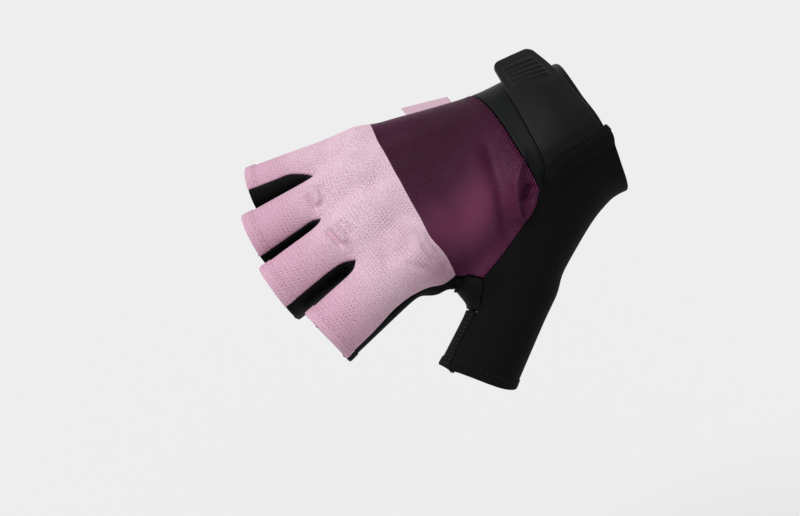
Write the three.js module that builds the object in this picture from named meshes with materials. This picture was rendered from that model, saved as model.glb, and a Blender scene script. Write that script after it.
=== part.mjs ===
import * as THREE from "three";

// Fingerless cycling glove for a right hand, worn form, sizes in millimetres.
// Back of the hand up (+Z), fingers to -X, thumb to -Y, wrist opening at +X.
// The origin is the centre of the wrist opening.

// Cloth, seams and hems.
const clothThickness = 1.0;
const outerLevel = 1.3;
const seamInset = 0.28;
const apexInset = 0.75;
const webInset = 0.45;
const webDepth = 3;
const hemWidth = 4;
const hemSwell = 0.5;
const rimTilt = 0.2;

// The thumb panel is sewn over the end of the strap.
const strapClearance = 0.55;
const strapThickness = 1.6;
const strapEndThickness = 1.0;
const seamLift = 3.15;
const lapWidth = 3.8;
const rampWidth = 5.5;
const tuckDepth = 2.6;

// Strap tab, its ridges and the label.
const tabLeaveAngle = 25;
const tabLength = 22.8;
const tabSlant = 1.7;
const tabCorner = 3.6;
const ridgeCount = 5;
const ridgePitch = 3.3;
const ridgeWidth = 1.5;
const ridgeSlope = 0.4;
const ridgeHeight = 0.6;
const ridgeFromEnd = 8;
const labelWide = 20;
const labelLong = 8;
const labelThickness = 1.2;

// The hand form: tapered rounded bones melted together, group by group.
const bones = [
  { group: "hand", a: [14, -10.5, 0], b: [-22, -11, 1], radiusA: 20.5, radiusB: 18.5 },
  { group: "hand", a: [14, 11, -1], b: [-22, 11.5, 0], radiusA: 20.3, radiusB: 18.2 },
  { group: "hand", a: [-22, -11, 3], b: [-98, -28, 3], radiusA: 16, radiusB: 11.5 },
  { group: "hand", a: [-22, -3, 4], b: [-104, -9, 5], radiusA: 16, radiusB: 11.5 },
  { group: "hand", a: [-22, 5, 3], b: [-100, 11, 4], radiusA: 16, radiusB: 11 },
  { group: "hand", a: [-22, 12, 1], b: [-92, 27, -1], radiusA: 15, radiusB: 10.5 },
  { group: "hand", a: [-30, 12, -7], b: [-72, 22, -8], radiusA: 14, radiusB: 12 },
  { group: "hand", a: [-88, -20, -4], b: [-84, 20, -7], radiusA: 10.5, radiusB: 10 },
  { group: "hand", a: [-112.5, -20.6, 1], b: [-112, -20.6, -5], radiusA: 6.4, radiusB: 6.4 },
  { group: "hand", a: [-115.5, 2.6, 0], b: [-115, 2.6, -6], radiusA: 6.4, radiusB: 6.4 },
  { group: "hand", a: [-108.5, 24.8, -3], b: [-108, 24.4, -8], radiusA: 6.2, radiusB: 6.2 },
  { group: "hand", a: [-24, -18, -6], b: [-58, -44, -17], radiusA: 17, radiusB: 14.5 },
  { group: "hand", a: [-60, -36, -9], b: [-74, -43.5, -12], radiusA: 8, radiusB: 7 },
  { group: "hand", a: [-82, -34, -8], b: [-92, -36.5, -6], radiusA: 2.6, radiusB: 4 },
  { group: "index", a: [-98, -29.5, 3], b: [-146, -40.5, -15.5], radiusA: 11.2, radiusB: 11.6 },
  { group: "middle", a: [-104, -8, 5], b: [-155, -12.2, -15.5], radiusA: 11.2, radiusB: 11.6 },
  { group: "ring", a: [-100, 12, 4], b: [-152, 16.5, -16], radiusA: 10.8, radiusB: 11 },
  { group: "little", a: [-92, 28.5, 0], b: [-142, 42, -17.5], radiusA: 9.8, radiusB: 9.8 },
  { group: "thumb", a: [-57, -45, -17], b: [-93.6, -72.5, -29.5], radiusA: 10.8, radiusB: 11.8 },
  { group: "thumb", a: [-56, -48, -17], b: [-90, -77, -29.5], radiusA: 11.8, radiusB: 11.4 },
];
const groupBlend = { hand: 3.5, index: 1, middle: 1, ring: 1, little: 1, thumb: 2.5 };
const fingerBlend = 0.4;
const joinBlend = 1.6;

// Neighbouring fingers are flattened so that air stays between them.
const fingerClearance = 1.95;
const flattenBlend = 0.8;

// Fingers from radial to ulnar: start and hem as a share of the bone, and the
// seam angles round the finger from its back, minus to the thumb side.
const fingers = [
  { bone: 14, start: 0.31, hem: 0.873, radial: [-87, -87], ulnar: [52, 66], under: [-87, 122] },
  { bone: 15, start: 0.285, hem: 0.876, radial: [-40, -56], ulnar: [52, 66], under: [-122, 122] },
  { bone: 16, start: 0.34, hem: 0.887, radial: [-40, -61], ulnar: [55, 68], under: [-122, 122] },
  { bone: 17, start: 0.39, hem: 0.882, radial: [-24, -26], ulnar: [87, 87], under: [-110, 87] },
];

// Between two fingers: the web's core, its top and underside, the line on
// the back from the cuff to the colour change and on to the web, and below.
const webs = [
  {
    core: [-111.5, -20.6, -2],
    top: [-119.7, -21, 7.5],
    under: [-117, -21, -11],
    above: [[-90, -17.5, 17.6], [-104, -18.7, 14]],
    back: [[-41.6, -12, 21], [-64, -14, 20]],
    below: [[-38.5, -5, -21], [-62, -11, -20], [-85, -17.5, -14], [-103, -18.5, -10]],
  },
  {
    core: [-114.5, 2.6, -3],
    top: [-122.7, 3.2, 5.8],
    under: [-120, 2.8, -12],
    above: [[-89.6, 1, 18.2], [-105, 1.5, 15]],
    back: [[-41.6, 4, 22], [-64, 3, 21]],
    below: [[-39.5, 7, -21], [-62, 5, -20], [-85, 2, -14], [-104, 3, -10]],
  },
  {
    core: [-107.5, 24.5, -5.5],
    top: [-115.6, 26.8, 2.6],
    under: [-113, 25, -13],
    above: [[-88.1, 19.5, 14.9], [-102, 22.5, 12]],
    back: [[-41.6, 19, 18], [-64, 20, 17]],
    below: [[-40.5, 21, -17], [-62, 22, -20], [-85, 20.5, -16], [-101, 23.5, -12]],
  },
];

// Corners where three or more panels meet.
const rimTop = [-4.2, -17, 21.5];
const rimUnder = [3.4, -17, -17];
const flapCorner = [-40, -28.6, 14];
const palmCorner = [-38, -15, -24];
const lineRadial = [-84, -40, -3];
const lineUlnar = [-84.6, 36.5, 0];
const webDorsal = [-74.4, -47, -2.2];
const stallDorsal = [-82, -54.6, -10.6];
const stallPalmar = [-72.3, -44.5, -31];
const gussetPalmGuides = [[-84.3, -42, -8], [-83, -39.5, -13.5], [-79, -38.5, -19], [-75, -40, -25]];
const gussetMiddles = [
  { seed: [-76, -42, -9], way: [-0.45, -0.1, 0.88] },
  { seed: [-75.5, -44.5, -13], way: [-0.95, 0.1, 0.2] },
  { seed: [-73, -55, -21.5], way: [-0.667, 0.746, 0] },
];
const cuffUlnar = [-41.5, 33, 0];

// Thumb stall: hem centre, the ways to its back and to the fingers in the
// hem's plane, and the two seam angles from its back.
const thumbHemCentre = [-90.8, -73, -28];
const thumbUp = [-0.454, -0.404, 0.79];
const thumbInward = [-0.667, 0.746, 0];
const thumbHemRadius = 13;
const thumbSeamAngle = 36;
const thumbUnderAngle = 150;

// Rows of the thumb panel: where the row sits, the middle of the hand form
// there, and the way to its outer side.
const thumbSections = [
  { at: 0, seed: [0, -11, 0], outer: [0, -1, 0], up: [-0.2, 0, 1] },
  { at: 0.25, seed: [-36, -24, -6], outer: [0.35, -0.93, -0.1], up: [-0.1, 0, 1] },
  { at: 0.55, seed: [-60, -44, -17], outer: [0.6, -0.8, 0], up: [-0.3, -0.25, 0.9] },
  { at: 0.7, seed: [-73, -56, -22], outer: [0.65, -0.76, 0], up: [-0.4, -0.35, 0.83] },
  { at: 1, seed: [-90.8, -73, -28], outer: [0.667, -0.746, 0], up: [-0.454, -0.404, 0.79] },
];

// Folds and dents: from, to, half width and height along the cloth's outside.
const folds = [
  { from: [-44, 8, 21], to: [-60, -38, 8], width: 4, height: -1.2 },
  { from: [-44, -8, 22], to: [-50, -33, 10], width: 3, height: 1.4 },
  { from: [-42, -24, 17], to: [-47, -31, 12], width: 2.6, height: -1.6 },
  { from: [-112, 8, 12], to: [-117, 18, 9], width: 2.2, height: 0.9 },
  { from: [-109, 6, 13], to: [-113, 20, 10], width: 1.6, height: -0.7 },
  { from: [-111, -15, 13], to: [-119, -2, 10], width: 1.8, height: -0.8 },
  { from: [-88, -22, 16], to: [-76, -36, 4], width: 5, height: -0.8 },
];

const colours = { pink: 0xd7a8c8, plum: 0x45183c, black: 0x1b1b1d, cuff: 0x20262a, strap: 0x2a2a2a };

const degrees = Math.PI / 180;
const add = (a, b, scale = 1) => [a[0] + b[0] * scale, a[1] + b[1] * scale, a[2] + b[2] * scale];
const mix = (a, b, t) => add([a[0] * (1 - t), a[1] * (1 - t), a[2] * (1 - t)], b, t);
const dot = (a, b) => a[0] * b[0] + a[1] * b[1] + a[2] * b[2];
const cross = (a, b) => [
  a[1] * b[2] - a[2] * b[1],
  a[2] * b[0] - a[0] * b[2],
  a[0] * b[1] - a[1] * b[0],
];
const size = (a) => Math.sqrt(dot(a, a));
const unit = (a) => mix([0, 0, 0], a, 1 / size(a));
const apart = (a, b) => size(add(a, b, -1));
const ease = (t) => {
  const s = Math.min(Math.max(t, 0), 1);
  return s * s * (3 - 2 * s);
};

// Share of the way from a to b at the point nearest to p, and how far off p is.
function alongSegment(p, a, b) {
  const span = add(b, a, -1);
  const share = Math.min(Math.max(dot(add(p, a, -1), span) / dot(span, span), 0), 1);
  return { share, away: apart(p, add(a, span, share)) };
}

function softMin(values, blend) {
  const low = Math.min(...values);
  let sum = 0;
  for (const value of values) {
    sum += Math.exp((low - value) / blend);
  }
  return low - blend * Math.log(sum);
}

// The flat between two neighbouring fingers, halfway between their skins.
function flatBetween(a, b) {
  const stations = [0.3, 0.88].map((t) => {
    const [pa, pb] = [mix(a.a, a.b, t), mix(b.a, b.b, t)];
    const [ra, rb] = [a, b].map((bone) => bone.radiusA + t * (bone.radiusB - bone.radiusA));
    const span = apart(pa, pb);
    return { middle: mix(pa, pb, (ra + (span - ra - rb) / 2) / span), way: unit(add(pb, pa, -1)) };
  });
  const line = unit(add(stations[1].middle, stations[0].middle, -1));
  const way = add(stations[0].way, stations[1].way);
  return { middle: stations[0].middle, line, way: unit(add(way, line, -dot(way, line))) };
}
const fingerBones = ["index", "middle", "ring", "little"].map((group) => bones.find((bone) => bone.group === group));
const flats = [0, 1, 2].map((i) => ({
  ...flatBetween(fingerBones[i], fingerBones[i + 1]),
  sides: [[fingerBones[i].group, 1], [fingerBones[i + 1].group, -1]],
}));

// Distance outside the hand form, minus inside.
function formValue(p) {
  const gaps = {};
  for (const bone of bones) {
    const { share, away } = alongSegment(p, bone.a, bone.b);
    gaps[bone.group] = gaps[bone.group] ?? [];
    gaps[bone.group].push(away - bone.radiusA - share * (bone.radiusB - bone.radiusA));
  }
  const merged = {};
  for (const group of Object.keys(gaps)) {
    merged[group] = softMin(gaps[group], groupBlend[group]);
  }
  for (const { middle: centre, way, sides } of flats) {
    const off = dot(add(p, centre, -1), way);
    for (const [group, sign] of sides) {
      merged[group] = -softMin([-merged[group], -sign * off - fingerClearance], flattenBlend);
    }
  }
  const { hand, thumb, ...separate } = merged;
  return softMin([hand, thumb, softMin(Object.values(separate), fingerBlend)], joinBlend);
}

function normalAt(p) {
  const step = 0.4;
  const slope = [[step, 0, 0], [0, step, 0], [0, 0, step]].map(
    (move) => formValue(add(p, move)) - formValue(add(p, move, -1)),
  );
  return unit(slope);
}

// Moves a nearby guide point on to the form at a level above it.
function toForm(p, level) {
  let q = p;
  for (let i = 0; i < 12; i += 1) {
    q = add(q, normalAt(q), level - formValue(q));
  }
  return q;
}

// Travels from a seed inside the form until it reaches the level.
function castOut(seed, way, level) {
  let travel = 0;
  for (let i = 0; i < 60; i += 1) {
    const gap = level - formValue(add(seed, way, travel));
    travel = Math.max(travel + 0.85 * gap, 0);
    if (Math.abs(gap) < 0.001) {
      break;
    }
  }
  return add(seed, way, travel);
}

// Smooth line through points, t counts the points from 0.
function through(points, t) {
  const i = Math.min(Math.max(Math.floor(t), 0), points.length - 2);
  const f = t - i;
  const b = points[i];
  const c = points[i + 1];
  const a = points[i - 1] ?? add(mix(b, b, 0), add(b, c, -1));
  const d = points[i + 2] ?? add(c, add(c, b, -1));
  return [0, 1, 2].map((k) => {
    const second = (2 * a[k] - 5 * b[k] + 4 * c[k] - d[k]) * f * f;
    const third = (3 * b[k] - a[k] - 3 * c[k] + d[k]) * f * f * f;
    return 0.5 * (2 * b[k] + (c[k] - a[k]) * f + second + third);
  });
}

// A seam: a smooth line through guide points, laid on the form, share 0 to 1.
function seam(guides) {
  return (share) => toForm(through(guides, share * (guides.length - 1)), outerLevel);
}

// Seams joined end to end; breaks holds the share where each one ends.
function chain(seams, breaks) {
  return (share) => {
    const i = Math.max(breaks.findIndex((end) => share <= end + 1e-9), 0);
    const start = i === 0 ? 0 : breaks[i - 1];
    return seams[i]((share - start) / (breaks[i] - start));
  };
}

const reversed = (line) => (share) => line(1 - share);

// A stop of a row: a ray that starts inside the form and leaves it at a point.
function stopAt(point, depth = 8) {
  const way = normalAt(point);
  return { seed: add(point, way, -depth), way, point };
}

// Points of one row, evenly spaced along the cloth between its two seams.
function rowPoints({ stops, from = 0, to = stops.length - 1 }, columns, insets, shapeAt) {
  const seeds = stops.map((stop) => stop.seed);
  const ways = stops.map((stop) => stop.way);
  const rayAt = (share) => {
    const t = from + share * (to - from);
    return { seed: through(seeds, t), way: unit(through(ways, t)) };
  };
  const fine = 36;
  const lengths = [0];
  let last = null;
  for (let i = 0; i <= fine; i += 1) {
    const ray = rayAt(i / fine);
    const point = castOut(ray.seed, ray.way, outerLevel);
    if (last) {
      lengths.push(lengths[i - 1] + apart(point, last));
    }
    last = point;
  }
  const total = lengths[fine];
  const row = [];
  for (let column = 0; column <= columns; column += 1) {
    const width = total - insets[0] - insets[1];
    const s = insets[0] + (width * column) / columns;
    let i = 1;
    while (i < fine && lengths[i] < s) {
      i += 1;
    }
    const f = (s - lengths[i - 1]) / (lengths[i] - lengths[i - 1]);
    const ray = rayAt((i - 1 + f) / fine);
    const { raise, swell } = shapeAt(s, total);
    const level = outerLevel + raise + swell;
    let point = castOut(ray.seed, ray.way, level);
    if (column === 0 && insets[0] === 0) {
      point = toForm(stops[from].point, level);
    }
    if (column === columns && insets[1] === 0) {
      point = toForm(stops[to].point, level);
    }
    const normal = normalAt(point);
    row.push({ outer: point, inner: add(point, normal, -clothThickness - swell), normal });
  }
  return row;
}

const flat = () => ({ raise: 0, swell: 0 });
const evenInset = () => [seamInset, seamInset];

// A grid of cloth, row by row, each row laid through its stops.
function clothGrid({ rowAt, shares, columns, insetAt = evenInset, shape = flat }) {
  return shares.map((share) => {
    const row = rowAt(share);
    return rowPoints(row, columns, insetAt(share), (s, total) => shape(share, s, total));
  });
}

const rowBetween = (left, right, middle = () => []) => (share) => ({
  stops: [stopAt(left(share)), ...middle(share), stopAt(right(share))],
});

function foldShift(p) {
  let shift = 0;
  for (const fold of folds) {
    const { share, away } = alongSegment(p, fold.from, fold.to);
    const fade = ease(4 * Math.min(share, 1 - share) + 0.3);
    shift += fold.height * fade * Math.exp(-((away / fold.width) ** 2));
  }
  return shift;
}

// One closed body from grids of cloth: outside, inside and the cut edges.
function clothBody(name, colour, roughness, grids) {
  const index = new Map();
  const nodes = [];
  const nodeAt = (node) => {
    const key = node.outer.map((value) => Math.round(value * 200)).join(" ");
    if (!index.has(key)) {
      index.set(key, nodes.length);
      const shift = node.noFold ? 0 : foldShift(node.outer);
      const outer = add(node.outer, node.normal, shift);
      nodes.push({ outer, inner: add(node.inner, node.normal, shift) });
    }
    return index.get(key);
  };
  const faces = [];
  for (const grid of grids) {
    const quads = [];
    let facing = 0;
    for (let r = 0; r + 1 < grid.length; r += 1) {
      for (let c = 0; c + 1 < grid[r].length; c += 1) {
        const corner = [grid[r][c], grid[r][c + 1], grid[r + 1][c + 1], grid[r + 1][c]];
        const across = add(corner[2].outer, corner[0].outer, -1);
        const back = add(corner[3].outer, corner[1].outer, -1);
        facing += dot(cross(across, back), corner[0].normal);
        quads.push(corner.map(nodeAt));
      }
    }
    for (const ids of quads) {
      const [a, b, c, d] = facing < 0 ? [...ids].reverse() : ids;
      faces.push([a, b, c], [a, c, d]);
    }
  }
  const real = faces.filter((f) => f[0] !== f[1] && f[1] !== f[2] && f[0] !== f[2]);
  const inside = nodes.length;
  const triangles = [];
  const edges = new Set(real.flatMap((f) => f.map((id, k) => `${id} ${f[(k + 1) % 3]}`)));
  for (const f of real) {
    triangles.push(f, [f[2] + inside, f[1] + inside, f[0] + inside]);
    f.forEach((id, k) => {
      const next = f[(k + 1) % 3];
      if (!edges.has(`${next} ${id}`)) {
        triangles.push([next, id, id + inside], [next, id + inside, next + inside]);
      }
    });
  }
  const positions = [...nodes.map((node) => node.outer), ...nodes.map((node) => node.inner)].flat();
  const geometry = new THREE.BufferGeometry();
  geometry.setAttribute("position", new THREE.Float32BufferAttribute(positions, 3));
  geometry.setIndex(triangles.flat());
  geometry.computeVertexNormals();
  const material = new THREE.MeshStandardMaterial({ color: colour, roughness });
  material.name = name;
  const mesh = new THREE.Mesh(geometry, material);
  mesh.name = name;
  return mesh;
}

function shareRange(from, to, steps) {
  return Array.from({ length: steps + 1 }, (_, i) => from + ((to - from) * i) / steps);
}

// The middle line of a finger at a share of its stall, and ways round it:
// angle 0 is the finger's back, plus is the little-finger side.
function fingerMiddle(finger, share) {
  const bone = bones[finger.bone];
  return mix(bone.a, bone.b, finger.start + share * (finger.hem - finger.start));
}
function fingerWay(finger, angle) {
  const bone = bones[finger.bone];
  const axis = unit(add(bone.b, bone.a, -1));
  const up = unit(add([0, 0, 1], axis, -axis[2]));
  const side = unit(cross(axis, up));
  const back = Math.cos(angle * degrees);
  return add([up[0] * back, up[1] * back, up[2] * back], side, Math.sin(angle * degrees));
}
function fingerPoint(finger, share, angle) {
  const radius = bones[finger.bone].radiusA + outerLevel;
  return add(fingerMiddle(finger, share), fingerWay(finger, angle), radius);
}

// A web's corners lie on the flat between its two fingers.
const webPoints = webs.map((web, i) => {
  const { middle, line, way } = flats[i];
  const onFlat = (p) => add(p, way, -dot(add(p, middle, -1), way));
  const onSkin = (p) => onFlat(toForm(onFlat(toForm(onFlat(p), outerLevel)), outerLevel));
  return { top: onSkin(web.top), under: onSkin(web.under), front: onSkin(add(web.core, line, 8)) };
});

// Stops along a finger's seam: from the way out of the web to the finger's own.
function stallStops(finger, i, face, angles) {
  const angleAt = (share) => angles[0] + (angles[1] - angles[0]) * ease(share * 1.1 - 0.1);
  const guides = [0.3, 0.53, 0.77, 1].map((share) => fingerPoint(finger, share, angleAt(share)));
  const line = seam([webPoints[i][face], ...guides]);
  const webWay = { top: [-0.5, 0, 0.87], under: [-0.5, 0, -0.87], front: flats[i].line }[face];
  return (share) => {
    const point = line(share);
    const way = unit(mix(webWay, fingerWay(finger, angleAt(share)), ease(share / 0.35)));
    return { seed: add(point, way, -8), way, point };
  };
}

const index = fingers[0];
const little = fingers[3];

// Outer seams that run the whole way on the thumb side and the little side.
const indexOuter = seam([
  lineRadial,
  [-90, -40.3, -3.5],
  [-98, -42.3, 0],
  ...[-78, -82, -86, -87, -87].map((angle, i) => fingerPoint(index, i / 4, angle)),
]);
const littleOuter = seam([
  lineUlnar,
  [-97, 38.8, -2],
  fingerPoint(little, -0.05, 87),
  ...[0.22, 0.48, 0.74, 1].map((share) => fingerPoint(little, share, 87)),
]);
const ulnarSeam = seam([cuffUlnar, [-56, 35.2, 0], [-71, 36.4, 0], lineUlnar]);

// Rows of the strips: share 0.5 is the web, 1 is the hem.
const indexWebShare = 0.44;
const littleWebShare = 0.36;

const backLines = webs.map((web) => seam([...web.back, web.above[0]]));
const aboveLines = webs.map((web, i) => seam([...web.above, webPoints[i].top]));
const palmLines = webs.map((web) => seam(web.below.slice(0, 3)));
const belowLines = webs.map((web, i) => seam([...web.below.slice(2), webPoints[i].under]));

// A row right across the hand, one piece of it between two of its lines.
// The last stop lies past the little-side seam and only steers the line.
function rowAcross(radial, lines, ulnar, past, i) {
  return (share) => ({
    stops: [radial(share), ...[...lines, ulnar, past].map((line) => stopAt(line(share)))],
    from: i,
    to: i + 1,
  });
}

// The web of the thumb is thin, so that stops on it start close to its skin.
const indexDepth = (share) => webDepth + (8 - webDepth) * ease(share * 2.5);

// One finger's strip: share 0 to 0.5 up to the web, 0.5 to 1 along the stall.
function stripRow(i, under) {
  const finger = fingers[i];
  const lines = under ? belowLines : aboveLines;
  const past = under ? aboveLines[2] : belowLines[2];
  const indexEdge = (share) => stopAt(indexOuter(share * indexWebShare), indexDepth(share));
  const littleEdge = (share) => littleOuter(share * littleWebShare);
  const handRow = rowAcross(indexEdge, lines, littleEdge, past, i);
  const face = under ? "under" : "top";
  const radialAngles = under ? [finger.under[0], finger.under[0]] : finger.radial;
  const ulnarAngles = under ? [finger.under[1], finger.under[1]] : finger.ulnar;
  const outerStops = (line, webShare) => (share) => stopAt(line(webShare + share * (1 - webShare)));
  const left = i > 0
    ? stallStops(finger, i - 1, face, radialAngles)
    : outerStops(indexOuter, indexWebShare);
  const right = i < 3
    ? stallStops(finger, i, face, ulnarAngles)
    : outerStops(littleOuter, littleWebShare);
  return (share) => {
    const along = share * 2 - 1;
    return along < -1e-6 ? handRow(share * 2) : { stops: [left(along), right(along)] };
  };
}

// Rows close up before the hem so that its turned edge has a crisp step.
function hemRows(rows, stallLength) {
  const first = 0.5 / rows;
  const lip = (0.5 * hemWidth) / stallLength;
  const step = (0.5 * 0.5) / stallLength;
  const end = 1 - (0.5 * seamInset) / stallLength;
  return [...shareRange(0.5 + first, 1 - lip - step, rows - 1), 1 - lip + step, end];
}

const hemShape = (stallLength) => (share) => {
  const fromHem = ((1 - share) / 0.5) * stallLength;
  return { raise: 0, swell: fromHem < hemWidth ? hemSwell : 0 };
};
const stallLength = 27;
const stripShares = shareRange(0.006, 0.5, 6);

function stripInset(i) {
  return (share) => {
    const open = share > 0.5 + 1e-6;
    const left = i === 0 || open ? seamInset : 0;
    const right = i === 3 || open ? seamInset : 0;
    return [left, right];
  };
}

const backStrips = fingers.map((finger, i) =>
  clothGrid({
    rowAt: stripRow(i, false),
    shares: [...stripShares, ...hemRows(6, stallLength)],
    columns: 6,
    insetAt: stripInset(i),
    shape: hemShape(stallLength),
  }),
);
const fingerBack = clothBody("finger_back_panel", colours.pink, 0.85, backStrips);

// Seams round the thumb.
function thumbHemPoint(angle) {
  const way = add(
    add([0, 0, 0], thumbUp, Math.cos(angle * degrees)),
    thumbInward,
    Math.sin(angle * degrees),
  );
  return add(thumbHemCentre, way, thumbHemRadius);
}
const cuffSeam = seam([rimTop, [-17.5, -19.5, 21.9], [-33, -22, 19.8], flapCorner]);
const plumSeam = seam([flapCorner, [-44.5, -32.8, 9.2], [-53, -37.4, 5], [-63.5, -42.7, 1.8], webDorsal]);
const gussetSeam = seam([webDorsal, [-77, -51.4, -6.4], stallDorsal]);
const stitchedSeam = seam([stallDorsal, [-88.6, -59.2, -13.1], [-94.6, -63.8, -15.6], thumbHemPoint(thumbSeamAngle)]);
const palmCuffSeam = seam([rimUnder, [-12, -15, -19], [-25, -13, -22], palmCorner]);
const thenarSeam = seam([palmCorner, [-50, -18, -27], [-62, -27, -30], stallPalmar]);
const stallUnderSeam = seam([stallPalmar, [-81, -54.5, -35], thumbHemPoint(thumbUnderAngle)]);
const gussetPalmSeam = seam([lineRadial, ...gussetPalmGuides, stallPalmar]);

// Thumb panel, from the wrist rim round the outer side of the thumb to its hem.
const thumbBreaks = [0.25, 0.55, 0.7, 1];
const thumbDorsal = chain([cuffSeam, plumSeam, gussetSeam, stitchedSeam], thumbBreaks);
const thumbPalmar = chain([palmCuffSeam, thenarSeam, stallUnderSeam], [0.25, 0.7, 1]);

function thumbSectionAt(share) {
  let i = 1;
  while (i < thumbSections.length - 1 && thumbSections[i].at < share) {
    i += 1;
  }
  const f = (share - thumbSections[i - 1].at) / (thumbSections[i].at - thumbSections[i - 1].at);
  const seeds = thumbSections.map((section) => section.seed);
  const outers = thumbSections.map((section) => section.outer);
  const ups = thumbSections.map((section) => section.up);
  const t = i - 1 + f;
  return { seed: through(seeds, t), outer: unit(through(outers, t)), up: unit(through(ups, t)) };
}

function lapLift(x) {
  const fromFlap = ease((x - flapCorner[0] - 0.5) / 3);
  const towardsRim = 1 - 0.45 * ease((x + 4.5) / 4);
  return seamLift * fromFlap * towardsRim;
}

const thumbRows = [
  ...shareRange(0.006, 0.25, 8),
  ...shareRange(0.28, 0.55, 6),
  ...shareRange(0.59, 0.7, 3),
  ...shareRange(0.76, 0.955, 4),
  0.963,
  0.998,
];
const thumbPanelGrid = clothGrid({
  rowAt: rowBetween(thumbDorsal, thumbPalmar, (share) => {
    const { seed, outer, up } = thumbSectionAt(share);
    return [0.75, -0.75].map((lean) => ({ seed, way: unit(add(outer, up, lean)) }));
  }),
  shares: thumbRows,
  columns: 16,
  shape: (share, s) => {
    const lifted = share < 0.25 ? lapLift(thumbDorsal(share)[0]) : 0;
    const raise = lifted * (1 - ease((s - lapWidth) / rampWidth));
    return { raise, swell: share > 0.96 ? hemSwell : 0 };
  },
});
const thumbPanel = clothBody("thumb_panel", colours.black, 0.9, [thumbPanelGrid]);

// Inner strip of the thumb stall.
const stallMiddle = (share) => [
  { seed: mix([-73, -56, -22], thumbHemCentre, share), way: unit(thumbInward) },
];
const thumbInnerGrid = clothGrid({
  rowAt: rowBetween(stitchedSeam, stallUnderSeam, stallMiddle),
  shares: [...shareRange(0.006, 0.86, 5), 0.885, 0.994],
  columns: 8,
  shape: (share) => ({ raise: 0, swell: share > 0.87 ? hemSwell : 0 }),
});
const thumbInner = clothBody("thumb_inner_panel", colours.black, 0.9, [thumbInnerGrid]);

// Round gusset in the web between thumb and index finger.
function gussetRow(share) {
  const [seed, way] = ["seed", "way"].map((key) =>
    through(gussetMiddles.map((middle) => middle[key]), share * 2),
  );
  const [left, right] = [gussetSeam, gussetPalmSeam].map((line) => stopAt(line(share), webDepth));
  return { stops: [left, { seed, way: unit(way) }, right] };
}
const gussetGrid = clothGrid({
  rowAt: gussetRow,
  shares: shareRange(0.055, 0.99, 8),
  columns: 8,
  insetAt: () => [seamInset, webInset],
});
const gusset = clothBody("thumb_web_gusset", colours.black, 0.8, [gussetGrid]);

// Plum panel between the colour change and the cuff.
const gussetTop = clothGrid({
  rowAt: gussetRow,
  shares: [0],
  columns: 6,
  insetAt: () => [0, 0],
})[0].map((node) => node.outer);
const plumRadial = chain([plumSeam, seam(gussetTop)], [0.78, 1]);
const handBackRow = (share) => ({
  stops: [plumRadial, ...backLines, ulnarSeam, palmLines[2]].map((line) => stopAt(line(share))),
  to: 4,
});
const handBackGrid = clothGrid({
  rowAt: handBackRow,
  shares: [...shareRange(0.008, 0.78, 12), ...shareRange(0.84, 0.994, 2)],
  columns: 18,
});
const handBack = clothBody("hand_back_panel", colours.plum, 0.6, [handBackGrid]);

// Palm, with the four finger undersides.
const palmRadial = chain([thenarSeam, reversed(gussetPalmSeam)], [0.62, 1]);
const palmWebWay = [-0.5, 0.3, -0.8];
function palmRadialStop(share) {
  const point = palmRadial(share);
  const normal = normalAt(point);
  const leaned = mix(normal, palmWebWay, 0.8 * ease((share - 0.62) / 0.15));
  const way = unit(add(leaned, normal, Math.max(0.4 - dot(leaned, normal), 0)));
  const depth = 8 - 5 * ease((share - 0.45) / 0.2) - 2 * ease((share - 0.8) / 0.15);
  return { seed: add(point, way, -depth), way, point };
}
const palmInset = (share) => (share > 0.62 ? webInset + 0.3 * ease((share - 0.9) / 0.1) : seamInset);
const palmStrips = fingers.map((finger, i) => {
  const body = clothGrid({
    rowAt: rowAcross(palmRadialStop, palmLines, ulnarSeam, backLines[2], i),
    shares: [0.008, ...shareRange(0.12, 0.62, 5), ...shareRange(0.685, 1, 5)],
    columns: 5,
    insetAt: (share) => [i > 0 ? 0 : palmInset(share), i === 3 ? seamInset : 0],
  });
  const rest = clothGrid({
    rowAt: stripRow(i, true),
    shares: [...stripShares.slice(1), ...hemRows(6, stallLength)],
    columns: 5,
    insetAt: stripInset(i),
    shape: hemShape(stallLength),
  });
  return [...body, ...rest];
});
const palm = clothBody("palm_panel", colours.black, 0.85, palmStrips);

// Strips between the fingers, over the web from one hem to the other.
function fourchette(i, name) {
  const halves = [
    { finger: fingers[i], over: fingers[i].ulnar, under: fingers[i].under[1], side: 95 },
    { finger: fingers[i + 1], over: fingers[i + 1].radial, under: fingers[i + 1].under[0], side: -90 },
  ];
  const rows = halves.map(({ finger, over, under, side }) => {
    const top = stallStops(finger, i, "top", over);
    const middle = stallStops(finger, i, "front", [side, side]);
    const low = stallStops(finger, i, "under", [under, under]);
    return (share) => ({ stops: [top(share), middle(share), low(share)] });
  });
  const grid = clothGrid({
    rowAt: (share) => (share < 0.5 ? rows[0](1 - share * 2) : rows[1](share * 2 - 1)),
    shares: [0.004, 0.07, ...shareRange(0.12, 0.4, 5), 0.45, 0.5, 0.55, ...shareRange(0.6, 0.88, 5), 0.93, 0.996],
    columns: 4,
    insetAt: (share) => {
      const near = Math.exp(-(((share - 0.5) / 0.06) ** 2));
      return [seamInset + near * apexInset, seamInset + near * apexInset];
    },
  });
  return clothBody(name, colours.black, 0.85, [grid]);
}
const fourchettes = [
  fourchette(0, "fourchette_index_middle"),
  fourchette(1, "fourchette_middle_ring"),
  fourchette(2, "fourchette_ring_little"),
];

// Cuff: a band round the wrist; its end runs under the lapped thumb panel.
function cuffDorsalEdge(share) {
  const point = cuffSeam(share);
  const tuck = tuckDepth * ease((point[0] - flapCorner[0] - 3) / 3);
  return toForm(add(point, [0, -0.88, -0.48], tuck), outerLevel);
}
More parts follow.
